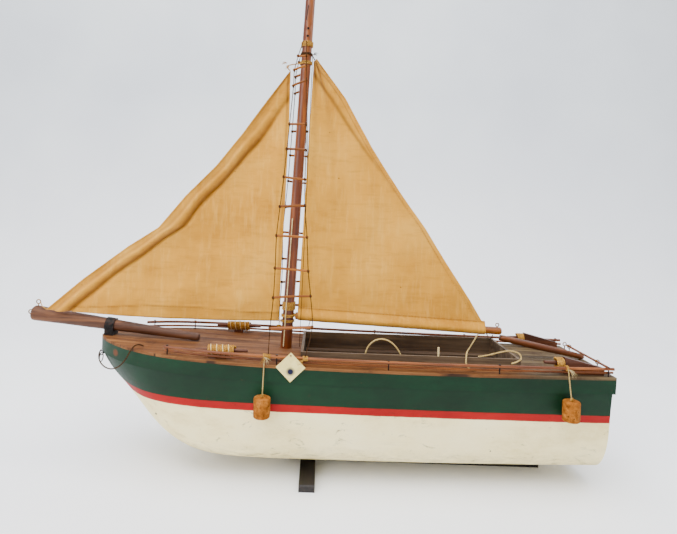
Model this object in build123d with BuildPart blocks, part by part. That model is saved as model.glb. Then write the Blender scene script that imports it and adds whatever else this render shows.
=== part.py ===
"""Wooden display sailboat: hand-built hull on a stand, mast, two canvas sails, rope ladders.

Millimetres, +Z up. The bow points to -X, port is -Y. The origin is on the floor, at the
middle of the underside of the foot bar.
"""
from build123d import *
from math import cos, radians, sin, sqrt, tan
import os

os.makedirs("parts", exist_ok=True)

MIN_Z = (Align.CENTER, Align.CENTER, Align.MIN)
MIN_XZ = (Align.MIN, Align.CENTER, Align.MIN)

# ---- hull ---------------------------------------------------------------------------
BOW_X = -334.0
STERN_X = 439.0
MAX_HALF_BEAM = 97.0
STEM_HALF_WIDTH = 7.0
STERN_DECK_Z = 172.0
BOW_RISE = 16.6
KEEL_Z = 24.0
KEEL_HALF_WIDTH = 6.0
WALL = 8.0
CAVITY_BOW_X = -285.0
DECK_THICKNESS = 4.0
STRAKE_HEIGHT = 20.0
TRANSOM_X = 435.0
TRANSOM_RAKE = 6.0
TRANSOM_THICKNESS = 8.0
# station x, keel z, fullness of the section (0 is a V, 1 is the full midship section)
BOW_STATIONS = (
    (BOW_X, 163, 0.0),
    (-320, 142, 0.05),
    (-300, 119, 0.12),
    (-270, 90, 0.28),
    (-235, 56, 0.5),
    (-190, 32, 0.75),
    (-145, 25, 0.92),
    (-100, KEEL_Z, 0.98),
)
MIDSHIP_FORE_X = -50.0
STATION_PITCH = 62.0
STATION_COUNT = 9
STERN_FULLNESS = 0.92
FORM_TOP_Z = 205.0

# ---- cockpit ------------------------------------------------------------------------
WELL_FORE_X = -16.0
WELL_AFT_X = 310.0
WELL_HALF_WIDTH = 64.0
COAMING_THICKNESS = 4.0
COAMING_TOP_Z = 187.5
LEDGE_TOP_Z = 161.0
LEDGE_WIDTH = 16.0
LEDGE_OVERALL = 25.0
BOARD = 4.0
SOLE_TOP_Z = 84.0
FIT_GAP = 0.3
PEG_X = 188.0
PEG_RADIUS = 1.6
PEG_HEIGHT = 13.0

# ---- stand --------------------------------------------------------------------------
FOOT_LENGTH_X = 23.0
FOOT_LENGTH_Y = 200.0
FOOT_HEIGHT = 10.0
KEEL_BOARD_FORE_X = -30.0
KEEL_BOARD_AFT_X = 367.0
KEEL_BOARD_WIDTH = 12.0
FOOT_SCREW_X = 6.0

# ---- spars --------------------------------------------------------------------------
MAST_DECK_X = -42.0
MAST_DECK_Z = 171.0
MAST_RAKE = 2.05
MAST_FOOT_Z = 44.0
MAST_TOP_Z = 780.0
MAST_FOOT_RADIUS = 9.3
MAST_TOP_RADIUS = 7.6
SPRIT_OUTER = (-449.0, 0, 218.0)
SPRIT_INNER = (-181.0, 0, 187.0)
SPRIT_OUTER_RADIUS = 12.3
SPRIT_INNER_RADIUS = 5.8
BOOM_FORE = (-29.0, 0, 227.5)
BOOM_AFT = (302.0, 0, 214.0)
BOOM_RADIUS = 6.0
BOOM_EYE_X = 296.0
STROP_Z = 227.5
STROP_RADIUS = 1.2
RUNNING_GAP = 0.3
HOOK_TOP_Z = 722.0
LASHING_BUILD = 1.9
FOOT_LASHING_Z = 243.0

# ---- rails --------------------------------------------------------------------------
RAIL_INSET = 4.4
UPPER_RAIL_RISE = 11.0
LOWER_RAIL_RISE = 5.0
UPPER_RAIL_RADIUS = 2.1
LOWER_RAIL_RADIUS = 1.65
RAIL_FORE_X = {-1: -213.0, 1: -283.0}
RAIL_AFT_X = 437.0
RAIL_RUN = 70.0
RAIL_NAIL_FORE_X = -208.0
RAIL_NAIL_PITCH = 159.25
RAIL_NAIL_COUNT = 5
NAIL_RADIUS = 0.9
NAIL_HEAD_RADIUS = 1.8
STERN_RAIL_X = 425.0
STERN_RAIL_END_Y = 32.0
STERN_EYE_YS = (-60.0, 24.0, 40.0)
STARBOARD_NAIL_X = -272.0
NAIL_DEPTH = 3.0
MAST_NAIL_ZS = (686.0, 674.0)

# ---- bow fittings, cleats, tiller -----------------------------------------------------
BRACKET_FORE_X = -330.0
BRACKET_AFT_X = -316.0
BRACKET_SHEET = 1.4
EYE_RING_RADIUS = 3.2
EYE_WIRE_RADIUS = 0.8
TIP_EYE = (-453.0, 0, 219.0)
TACK_EYE = (-441.0, 0, 235.5)
STEM_EYE = (-337.5, 0, 157.0)
BOW_RING_RADIUS = 7.0
FORE_CLEAT_X = -130.0
FORE_CLEAT_INSET = 17.0
FORE_CLEAT_RISE = 11.5
FORE_CLEAT_REACH = 38.0
AFT_CLEAT_X = 369.0
AFT_CLEAT_Y = 72.5
AFT_CLEAT_TOP_Z = 196.0
AFT_HORN_Z = 187.0
AFT_BLOCK_WIDTH = 9.0
AFT_BLOCK_END_X = 426.0
AFT_BLOCK_END_Z = 182.0
TILLER_PIVOT_X = 430.0
TILLER_SCREW_RADIUS = 1.5
TILLER_AFT = (436.0, 0, 176.6)
TILLER_BULGE = (362.0, 0, 191.4)
TILLER_FORE = (305.0, 0, 202.8)
TILLER_SPOT_Z = 180.4

# ---- fenders and tag ------------------------------------------------------------------
CORK_RADIUS = 11.8
CORK_HEIGHT = 27.7
FENDER_ROPE_RADIUS = 0.9
# name, x, height of the cork's middle
FENDERS = (("fore", -66.0, 121.0), ("aft", 368.0, 127.7))
TAG_X = -28.4
TAG_SIDE = 29.5
TAG_THICKNESS = 1.2
TAG_STRING_RADIUS = 0.4

# ---- sails ----------------------------------------------------------------------------
SAIL_THICKNESS = 1.0
JIB_LUFF = ((-422, 226), (-366, 276), (-297, 330), (-250, 362), (-210, 413), (-163, 463),
            (-123, 516), (-84, 573), (-50, 619))
JIB_LEECH = ((-50, 619), (-49, 540), (-51, 405), (-53, 316), (-54.5, 218.5))
JIB_FOOT = ((-54.5, 218.5), (-180, 216.6), (-260, 216.0), (-341, 217.0), (-406, 217.6))
MAIN_HEAD = (-13, 636)
MAIN_LEECH = ((-8.5, 640), (40, 578), (84, 502), (131, 433), (176, 373), (216, 312), (250, 262))
MAIN_TACK_X = -25.0
MAIN_CLEW_X = 276.0

# ---- ladders ------------------------------------------------------------------------
LADDER_TOP_Z = 662.0
LADDER_ROPE_RADIUS = 0.65
LADDER_FOOT_FORE_X = -61.0
LADDER_FOOT_AFT_X = -8.0
LADDER_RUNG_RADIUS = 1.8
RUNG_END = 2.2
# heights of a rung's forward and aft ends, and their reach before and behind the mast's axis
LADDER_RUNGS = (
    (639, 640, 14.5, 3.0),
    (615, 624, 18.5, 4.0),
    (589, 600, 18.0, 6.0),
    (528, 529, 19.0, 10.5),
    (489, 488, 20.0, 13.5),
    (446, 443, 21.0, 15.5),
    (401, 404, 23.0, 18.5),
    (358, 357, 24.5, 25.0),
    (311, 308, 22.5, 30.5),
    (269, 273, 21.5, 36.5),
    (226, 230, 22.5, 42.0),
)

WIDEST_BEND = 9000.0

# ---- halyards and free cords ------------------------------------------------------------
LIGHT_HALYARD_RADIUS = 0.9
DARK_HALYARD_Y = -9.5
BOW_ROPE_RADIUS = 1.0
BOW_ROPE_ROUTE = (
    (-337.5, -1.6, 162.2),
    (-337.0, -11.0, 160.5),
    (-330.0, -26.0, 153.0),
    (-315.0, -43.0, 148.5),
    (-297.0, -58.0, 149.5),
    (-281.0, -69.5, 158.0),
    (-269.5, -76.0, 170.5),
    (-263.0, -77.5, 183.5),
    (-258.0, -72.5, 191.5),
    (-253.5, -63.5, 190.0),
    (-251.5, -56.5, 186.0),
)
MAINSHEET_RADIUS = 0.8
MAINSHEET_ROUTE = (
    (289.5, 0.6, 207.0),
    (291.5, 10.0, 202.5),
    (295.0, 27.0, 195.0),
    (299.5, 47.0, 189.5),
    (304.0, 66.0, 189.0),
    (307.0, 79.0, 190.0),
    (308.5, 86.5, 188.0),
)
COCKPIT_CORD_RADIUS = 1.1
COCKPIT_CORDS = (
    ("cockpit_cord_fore", (
        (78.0, -54.5, 162.2),
        (79.0, -55.5, 178.0),
        (82.5, -56.5, 196.0),
        (94.0, -57.5, 208.0),
        (110.0, -57.5, 209.5),
        (124.0, -57.0, 200.5),
        (133.5, -56.0, 186.5),
        (138.5, -54.5, 173.5),
        (140.0, -53.5, 162.2),
    )),
    ("cockpit_cord_middle", (
        (296.0, 85.0, 188.5),
        (291.0, 74.0, 192.5),
        (283.0, 58.0, 192.5),
        (271.0, 36.0, 188.0),
        (257.0, 10.0, 184.5),
        (245.0, -16.0, 184.5),
        (237.0, -40.0, 189.5),
        (231.0, -59.0, 194.5),
        (226.5, -71.5, 190.0),
        (224.5, -77.5, 181.5),
        (228.5, -80.0, 175.0),
        (238.0, -79.5, 173.8),
    )),
    ("cockpit_cord_aft", (
        (247.0, -62.0, 188.9),
        (258.0, -62.3, 190.5),
        (275.0, -63.5, 196.0),
        (291.0, -65.5, 200.5),
        (303.0, -70.0, 199.5),
        (305.5, -77.5, 194.5),
        (299.0, -84.0, 189.8),
        (287.0, -86.8, 187.6),
    )),
)


def sheer(x):
    """Height of the deck's top edge at x."""
    return STERN_DECK_Z + BOW_RISE * ((STERN_X - x) / (STERN_X - BOW_X)) ** 3


def half_beam(x):
    """Half the deck's width at x."""
    if x < 0:
        reach = min(1.0, x / BOW_X)
        return STEM_HALF_WIDTH + (MAX_HALF_BEAM - STEM_HALF_WIDTH) * (1 - reach ** 4) ** 0.83
    return MAX_HALF_BEAM - 11.5 * (x / 450.0) ** 2


def mix(low, high, share):
    return low + (high - low) * share


def mast_x(z):
    """The mast's axis at height z."""
    return MAST_DECK_X + (z - MAST_DECK_Z) * tan(radians(MAST_RAKE))


def mast_radius(z):
    return mix(MAST_FOOT_RADIUS, MAST_TOP_RADIUS, (z - MAST_FOOT_Z) / (MAST_TOP_Z - MAST_FOOT_Z))


def mast_plane(z):
    """Plane across the mast's axis at height z."""
    return Plane(origin=(mast_x(z), 0, z), x_dir=(1, 0, 0), z_dir=(tan(radians(MAST_RAKE)), 0, 1))


def sprit_z(x):
    share = (x - SPRIT_OUTER[0]) / (SPRIT_INNER[0] - SPRIT_OUTER[0])
    return mix(SPRIT_OUTER[2], SPRIT_INNER[2], share)


def sprit_radius(x):
    share = (x - SPRIT_OUTER[0]) / (SPRIT_INNER[0] - SPRIT_OUTER[0])
    return mix(SPRIT_OUTER_RADIUS, SPRIT_INNER_RADIUS, share)


def stations():
    """The bow's own stations, then evenly spaced ones past the stern."""
    rows = list(BOW_STATIONS)
    for i in range(STATION_COUNT):
        share = i / (STATION_COUNT - 1)
        rows.append((MIDSHIP_FORE_X + i * STATION_PITCH, KEEL_Z, mix(1.0, STERN_FULLNESS, share ** 2)))
    return rows


def hull_form(inset):
    """Smooth hull-shaped solid, drawn in by inset."""
    with BuildPart() as form:
        for x, keel_z, fullness in stations():
            if inset and x < CAVITY_BOW_X - 20:
                continue
            beam = half_beam(x) - inset
            floor_z = keel_z + inset * 1.3
            height = sheer(x) - floor_z
            flat = min(KEEL_HALF_WIDTH, 0.45 * beam)
            rise = radians(mix(55, 3, fullness ** 0.5))
            side = [
                (flat, floor_z),
                (beam * mix(0.46, 0.70, fullness), floor_z + height * mix(0.24, 0.05, fullness)),
                (beam * mix(0.72, 0.915, fullness), floor_z + height * mix(0.52, 0.24, fullness)),
                (beam * mix(0.90, 0.965, fullness), floor_z + height * mix(0.80, 0.58, fullness)),
                (beam, sheer(x)),
                (beam * 1.005, FORM_TOP_Z),
            ]
            with BuildSketch(Plane.YZ.offset(x)):
                with BuildLine():
                    Spline(*side, tangents=((cos(rise), sin(rise)), (0.02, 1)))
                    Line((beam * 1.005, FORM_TOP_Z), (-beam * 1.005, FORM_TOP_Z))
                    mirrored = [(-y, z) for y, z in reversed(side)]
                    Spline(*mirrored, tangents=((-0.02, -1), (cos(rise), -sin(rise))))
                    Line((-flat, floor_z), (flat, floor_z))
                make_face()
        loft()
    return form.part


def sheer_band(top_drop, bottom_drop, stern_top_x, stern_bottom_x):
    """Slab between two curves parallel to the sheer, wider than the hull."""
    stops = (-345.0, -260.0, -156.0, 0.0, 200.0)
    top = [(x, sheer(x) - top_drop) for x in stops]
    top.append((stern_top_x, sheer(stern_top_x) - top_drop))
    bottom = [(x, sheer(x) - bottom_drop) for x in stops]
    bottom.append((stern_bottom_x, sheer(stern_bottom_x) - bottom_drop))
    with BuildPart() as band:
        with BuildSketch(Plane.XZ):
            with BuildLine():
                Spline(*top)
                Line(top[-1], bottom[-1])
                Spline(*reversed(bottom))
                Line(bottom[0], top[0])
            make_face()
        extrude(amount=150, both=True)
    return band.part


def deck_prism(inset, fore_x):
    """Upright solid with the deck's outline, drawn in by inset and cut off at fore_x."""
    stops = [x for x, _, _ in stations() if fore_x < x < STERN_X - 20]
    edge = [(x, half_beam(x) - inset) for x in [fore_x] + stops + [STERN_X]]
    mirrored = [(x, -y) for x, y in reversed(edge)]
    with BuildPart() as prism:
        with BuildSketch(Plane.XY):
            with BuildLine():
                Spline(*edge)
                Line(edge[-1], mirrored[0])
                Spline(*mirrored)
                Line(mirrored[-1], edge[0])
            make_face()
        extrude(amount=260)
    return prism.part


def add_rod(start, end, start_radius, end_radius, mode=Mode.ADD):
    """Round rod between two points, tapered where the radii differ."""
    span = Vector(*end) - Vector(*start)
    with Locations(Plane(origin=start, z_dir=span)):
        if start_radius == end_radius:
            Cylinder(start_radius, span.length, align=MIN_Z, mode=mode)
        else:
            Cone(start_radius, end_radius, span.length, align=MIN_Z, mode=mode)


def add_ring(plane, ring_radius, wire_radius):
    """Ring of round wire or rope about the plane's normal."""
    with Locations(plane):
        Torus(ring_radius, wire_radius)


def bend_radii(points):
    """Arc radius for each corner of a cord's route."""
    radii = []
    for before, corner, after in zip(points, points[1:], points[2:]):
        run_in = Vector(*corner) - Vector(*before)
        run_out = Vector(*after) - Vector(*corner)
        half_turn = radians(run_in.get_angle(run_out)) / 2
        shorter = min(run_in.length, run_out.length)
        radii.append(min(0.45 * shorter / tan(half_turn), WIDEST_BEND))
    return radii


def add_cord(points, radius):
    """Round cord along straight runs joined by tangent arcs."""
    radii = bend_radii(points)
    with BuildLine() as route:
        FilletPolyline(*points, radius=radii)
    start_plane = Plane(origin=points[0], z_dir=Vector(*points[1]) - Vector(*points[0]))
    with BuildSketch(start_plane) as section:
        Circle(radius)
    sweep(sections=section.sketch, path=route.line)


def add_rail(points, radius):
    """Round dowel sprung along a smooth curve."""
    with BuildLine() as route:
        Spline(*points)
    start_plane = Plane(origin=route.line @ 0, x_dir=(0, 1, 0), z_dir=route.line % 0)
    with BuildSketch(start_plane) as section:
        Circle(radius)
    sweep(sections=section.sketch, path=route.line)


def rail_y(x):
    return half_beam(x) - RAIL_INSET


def rail_route(first_x, rise, step_in):
    """A rail's route on the starboard side, rise above the deck's edge and step_in inside the nails."""
    runs = round((RAIL_AFT_X - first_x) / RAIL_RUN)
    stops = [mix(first_x, RAIL_AFT_X, i / runs) for i in range(runs + 1)]
    return [(x, rail_y(x) - step_in, sheer(x) + rise) for x in stops]


def on_side(side, points):
    """Points given for starboard, moved to port where side is -1."""
    return [(x, side * y, z) for x, y, z in points]


# ---- hull ---------------------------------------------------------------------------
outer_form = hull_form(0)
inner_form = hull_form(WALL)
fitted_form = hull_form(WALL + FIT_GAP)

with BuildPart() as above_keel:
    with Locations((0, 0, KEEL_Z)):
        Box(1200, 300, 300, align=MIN_Z)

with BuildPart() as transom_slab:
    with BuildSketch(Plane.XZ):
        with BuildLine():
            Polyline(
                (TRANSOM_X - TRANSOM_RAKE - TRANSOM_THICKNESS, 0),
                (TRANSOM_X - TRANSOM_RAKE, 0),
                (TRANSOM_X, STERN_DECK_Z - DECK_THICKNESS),
                (TRANSOM_X - TRANSOM_THICKNESS, STERN_DECK_Z - DECK_THICKNESS),
                close=True,
            )
        make_face()
    extrude(amount=150, both=True)

with BuildPart() as ahead_of_transom:
    with BuildSketch(Plane.XZ):
        with BuildLine():
            Polyline(
                (-400, 0),
                (TRANSOM_X - TRANSOM_RAKE - TRANSOM_THICKNESS, 0),
                (TRANSOM_X - TRANSOM_THICKNESS, STERN_DECK_Z - DECK_THICKNESS),
                (TRANSOM_X - TRANSOM_THICKNESS, 230),
                (-400, 230),
                close=True,
            )
        make_face()
    extrude(amount=150, both=True)

seam_drop = DECK_THICKNESS + STRAKE_HEIGHT

above_seam = sheer_band(-80, seam_drop, 470, 470)

with BuildPart() as hull_shell:
    add(outer_form)
    add(above_keel.part, mode=Mode.INTERSECT)
    add(above_seam, mode=Mode.SUBTRACT)
    add(ahead_of_transom.part, mode=Mode.INTERSECT)
    add(inner_form, mode=Mode.SUBTRACT)

outer_prism = deck_prism(0, BOW_X)
inner_prism = deck_prism(WALL, CAVITY_BOW_X)
strake_band = sheer_band(DECK_THICKNESS, seam_drop, STERN_X, STERN_X - 0.8)

with BuildPart() as sheer_strake_port:
    add(outer_prism)
    add(inner_prism, mode=Mode.SUBTRACT)
    add(strake_band, mode=Mode.INTERSECT)
    with Locations((0, -100, 0)):
        Box(1200, 200, 300, align=MIN_Z, mode=Mode.INTERSECT)

with BuildPart() as sheer_strake_starboard:
    add(outer_prism)
    add(inner_prism, mode=Mode.SUBTRACT)
    add(strake_band, mode=Mode.INTERSECT)
    with Locations((0, 100, 0)):
        Box(1200, 200, 300, align=MIN_Z, mode=Mode.INTERSECT)

with BuildPart() as transom_top:
    add(inner_prism)
    add(sheer_band(DECK_THICKNESS, seam_drop + 1, STERN_X, STERN_X), mode=Mode.INTERSECT)
    add(transom_slab.part, mode=Mode.INTERSECT)

with BuildPart() as transom_board:
    add(outer_form)
    add(above_keel.part, mode=Mode.INTERSECT)
    add(transom_slab.part, mode=Mode.INTERSECT)
    add(above_seam, mode=Mode.SUBTRACT)
    add(transom_top.part)

# ---- spars and the mast's step -------------------------------------------------------
with BuildPart() as mast:
    add_rod((mast_x(MAST_FOOT_Z), 0, MAST_FOOT_Z), (mast_x(MAST_TOP_Z), 0, MAST_TOP_Z),
            MAST_FOOT_RADIUS, MAST_TOP_RADIUS)
    chamfer(mast.edges().group_by(Axis.Z)[-1], length=2.5)
mast.part.label = "mast"

with BuildPart() as mast_step:
    with Locations((mast_x(MAST_FOOT_Z), 0, KEEL_Z + 1.3 * WALL + 0.6)):
        Box(44, 36, 24, align=MIN_Z)
    chamfer(mast_step.edges().filter_by(Axis.Z), length=4)
    add(mast.part, mode=Mode.SUBTRACT)
mast_step.part.label = "mast_step"

with BuildPart() as bowsprit:
    add_rod(SPRIT_OUTER, SPRIT_INNER, SPRIT_OUTER_RADIUS, SPRIT_INNER_RADIUS)
    chamfer(bowsprit.edges().group_by(Axis.X)[0], length=1.5)
    chamfer(bowsprit.edges().group_by(Axis.X)[-1], length=2.5)
bowsprit.part.label = "bowsprit"

# ---- rails --------------------------------------------------------------------------
nail_xs = [RAIL_NAIL_FORE_X + RAIL_NAIL_PITCH * i for i in range(RAIL_NAIL_COUNT)]

with BuildPart() as nails:
    for side in (-1, 1):
        for x in nail_xs + [STARBOARD_NAIL_X] * (side == 1):
            top_z = sheer(x) + UPPER_RAIL_RISE + UPPER_RAIL_RADIUS + 0.15
            with Locations((x, side * rail_y(x), sheer(x) - DECK_THICKNESS - NAIL_DEPTH)):
                Cylinder(NAIL_RADIUS, top_z - sheer(x) + DECK_THICKNESS + NAIL_DEPTH, align=MIN_Z)
            with Locations((x, side * rail_y(x), top_z)):
                Cylinder(NAIL_HEAD_RADIUS, 0.8, align=MIN_Z)
    for z in MAST_NAIL_ZS:
        head_y = -mast_radius(z)
        add_rod((mast_x(z), head_y + 6, z), (mast_x(z), head_y - 0.2, z), NAIL_RADIUS, NAIL_RADIUS)
        add_rod((mast_x(z), head_y - 0.2, z), (mast_x(z), head_y - 1.0, z),
                NAIL_HEAD_RADIUS, NAIL_HEAD_RADIUS)
nails.part.label = "nails"

for side, name in ((-1, "rails_port"), (1, "rails_starboard")):
    with BuildPart() as rail_pair:
        upper_route = rail_route(RAIL_FORE_X[side], UPPER_RAIL_RISE, 0)
        lower_route = rail_route(RAIL_FORE_X[side], LOWER_RAIL_RISE, LOWER_RAIL_RADIUS + NAIL_RADIUS + 0.3)
        add_rail(on_side(side, upper_route), UPPER_RAIL_RADIUS)
        add_rail(on_side(side, lower_route), LOWER_RAIL_RADIUS)
        add(nails.part, mode=Mode.SUBTRACT)
    rail_pair.part.label = name
    export_step(rail_pair.part, f"parts/{name}.step")

stern_rail_z = sheer(STERN_RAIL_X) + UPPER_RAIL_RISE + UPPER_RAIL_RADIUS + LOWER_RAIL_RADIUS + 0.1

with BuildPart() as stern_rail:
    add_rod((STERN_RAIL_X, -rail_y(STERN_RAIL_X) - 3, stern_rail_z),
            (STERN_RAIL_X, STERN_RAIL_END_Y, stern_rail_z), LOWER_RAIL_RADIUS, LOWER_RAIL_RADIUS)
stern_rail.part.label = "stern_rail"
export_step(stern_rail.part, "parts/stern_rail.step")

with BuildPart() as stern_eyes:
    for y in STERN_EYE_YS:
        add_ring(Plane(origin=(STERN_RAIL_X, y, stern_rail_z), z_dir=(0, 1, 0)), 2.8, 0.7)
        add_rod((STERN_RAIL_X, y, STERN_DECK_Z - 7), (STERN_RAIL_X, y, stern_rail_z - 2.7), 0.8, 0.8)
stern_eyes.part.label = "stern_eyes"
export_step(stern_eyes.part, "parts/stern_eyes.step")

# ---- bow fittings -------------------------------------------------------------------
bracket_x = mix(BRACKET_FORE_X, BRACKET_AFT_X, 0.5)
bracket_radius = sprit_radius(bracket_x) + BRACKET_SHEET

with BuildPart() as bowsprit_bracket:
    add_rod((BRACKET_FORE_X, 0, sprit_z(BRACKET_FORE_X)), (BRACKET_AFT_X, 0, sprit_z(BRACKET_AFT_X)),
            bracket_radius + 0.3, bracket_radius)
    with Locations((bracket_x, 0, sheer(bracket_x) - 1.5)):
        Box(BRACKET_AFT_X - BRACKET_FORE_X, 2 * bracket_radius, sprit_z(bracket_x) - sheer(bracket_x),
            align=MIN_Z)
    add(bowsprit.part, mode=Mode.SUBTRACT)
bowsprit_bracket.part.label = "bowsprit_bracket"
export_step(bowsprit_bracket.part, "parts/bowsprit_bracket.step")

with BuildPart() as bowsprit_eyes:
    add_ring(Plane(origin=TIP_EYE, z_dir=(0, 1, 0)), EYE_RING_RADIUS, EYE_WIRE_RADIUS)
    add_rod((TIP_EYE[0] + EYE_RING_RADIUS, 0, TIP_EYE[2]), (SPRIT_OUTER[0] + 9, 0, TIP_EYE[2] - 1),
            EYE_WIRE_RADIUS, EYE_WIRE_RADIUS)
    add_ring(Plane(origin=TACK_EYE, z_dir=(0, 1, 0)), EYE_RING_RADIUS, EYE_WIRE_RADIUS)
    add_rod((TACK_EYE[0], 0, TACK_EYE[2] - EYE_RING_RADIUS), (TACK_EYE[0], 0, TACK_EYE[2] - 14),
            EYE_WIRE_RADIUS, EYE_WIRE_RADIUS)
bowsprit_eyes.part.label = "bowsprit_eyes"
export_step(bowsprit_eyes.part, "parts/bowsprit_eyes.step")

with BuildPart() as stem_eye:
    add_ring(Plane(origin=STEM_EYE, z_dir=(0, 1, 0)), EYE_RING_RADIUS, EYE_WIRE_RADIUS)
    add_rod((STEM_EYE[0] + EYE_RING_RADIUS, 0, STEM_EYE[2]), (STEM_EYE[0] + 20, 0, STEM_EYE[2]),
            EYE_WIRE_RADIUS, EYE_WIRE_RADIUS)
stem_eye.part.label = "stem_eye"
export_step(stem_eye.part, "parts/stem_eye.step")

with BuildPart() as bow_ring:
    add_ring(Plane(origin=(STEM_EYE[0], 0, STEM_EYE[2] - BOW_RING_RADIUS), z_dir=(1, 0, 0)),
             BOW_RING_RADIUS, EYE_WIRE_RADIUS)
bow_ring.part.label = "bow_ring"
export_step(bow_ring.part, "parts/bow_ring.step")

# ---- cleats and the rope belayed on them ----------------------------------------------
with BuildPart() as fore_cleats:
    for side in (-1, 1):
        y = side * (half_beam(FORE_CLEAT_X) - FORE_CLEAT_INSET)
        z = sheer(FORE_CLEAT_X) + FORE_CLEAT_RISE
        middle = (FORE_CLEAT_X, y, z)
        for reach in (-1, 1):
            add_rod(middle, (FORE_CLEAT_X + reach * FORE_CLEAT_REACH, y, z), 3.8, 2.0)
        with Locations((FORE_CLEAT_X, y, sheer(FORE_CLEAT_X) - 1.5)):
            Box(16, 7, FORE_CLEAT_RISE, align=MIN_Z)
fore_cleats.part.label = "fore_cleats"
export_step(fore_cleats.part, "parts/fore_cleats.step")

with BuildPart() as fore_cleat_ropes:
    for side in (-1, 1):
        y = side * (half_beam(FORE_CLEAT_X) - FORE_CLEAT_INSET)
        z = sheer(FORE_CLEAT_X) + FORE_CLEAT_RISE
        add_rod((FORE_CLEAT_X - 20, y, z), (FORE_CLEAT_X + 20, y, z), 8.0, 8.0)
    add(fore_cleats.part, mode=Mode.SUBTRACT)
fore_cleat_ropes.part.label = "fore_cleat_ropes"
export_step(fore_cleat_ropes.part, "parts/fore_cleat_ropes.step")

with BuildPart() as aft_cleats:
    for side in (-1, 1):
        y = side * AFT_CLEAT_Y
        with BuildSketch(Plane.XZ.offset(-y)) as block_side:
            with BuildLine():
                Polyline(
                    (AFT_CLEAT_X, STERN_DECK_Z - 1.5),
                    (AFT_CLEAT_X, AFT_CLEAT_TOP_Z),
                    (AFT_BLOCK_END_X, AFT_BLOCK_END_Z),
                    (AFT_BLOCK_END_X, STERN_DECK_Z - 1.5),
                    close=True,
                )
            make_face()
        extrude(amount=AFT_BLOCK_WIDTH / 2, both=True)
        add_rod((AFT_CLEAT_X + 1, y, AFT_HORN_Z), (AFT_CLEAT_X - 29, y, AFT_HORN_Z + 0.5), 4.0, 2.2)
aft_cleats.part.label = "aft_cleats"
export_step(aft_cleats.part, "parts/aft_cleats.step")

with BuildPart() as aft_cleat_ropes:
    for side in (-1, 1):
        y = side * AFT_CLEAT_Y
        add_rod((AFT_CLEAT_X - 13, y, AFT_HORN_Z), (AFT_CLEAT_X, y, AFT_HORN_Z), 8.5, 8.5)
    add(aft_cleats.part, mode=Mode.SUBTRACT)
aft_cleat_ropes.part.label = "aft_cleat_ropes"
export_step(aft_cleat_ropes.part, "parts/aft_cleat_ropes.step")

# ---- mast fittings --------------------------------------------------------------------
with BuildPart() as mast_hook:
    hook_y = -mast_radius(HOOK_TOP_Z)
    hook_route = [
        (mast_x(HOOK_TOP_Z) - 2, hook_y + 4, HOOK_TOP_Z),
        (mast_x(HOOK_TOP_Z) - 2, hook_y - 5, HOOK_TOP_Z),
        (mast_x(HOOK_TOP_Z) - 4, hook_y - 5.5, HOOK_TOP_Z - 22),
        (mast_x(HOOK_TOP_Z) - 4, hook_y - 1.5, HOOK_TOP_Z - 23),
    ]
    add_cord(hook_route, 0.7)
mast_hook.part.label = "mast_hook"
export_step(mast_hook.part, "parts/mast_hook.step")

with BuildPart() as ladder_lashing:
    with Locations(mast_plane(LADDER_TOP_Z)):
        Cylinder(mast_radius(LADDER_TOP_Z) + LASHING_BUILD, 9)
    add(mast.part, mode=Mode.SUBTRACT)
ladder_lashing.part.label = "ladder_lashing"
export_step(ladder_lashing.part, "parts/ladder_lashing.step")

with BuildPart() as mast_foot_lashing:
    with Locations(mast_plane(FOOT_LASHING_Z)):
        Cylinder(mast_radius(FOOT_LASHING_Z) + LASHING_BUILD, 14)
    add(mast.part, mode=Mode.SUBTRACT)
mast_foot_lashing.part.label = "mast_foot_lashing"
export_step(mast_foot_lashing.part, "parts/mast_foot_lashing.step")

# ---- rope ladders ---------------------------------------------------------------------
rail_top_z = sheer(-35) + UPPER_RAIL_RISE + UPPER_RAIL_RADIUS
ladder_top_y = mast_radius(LADDER_TOP_Z) + LASHING_BUILD + LADDER_ROPE_RADIUS


def ladder_y(z):
    """How far out the ladder's ropes stand at height z."""
    return mix(ladder_top_y, rail_y(-35), (LADDER_TOP_Z - z) / (LADDER_TOP_Z - rail_top_z))


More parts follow.
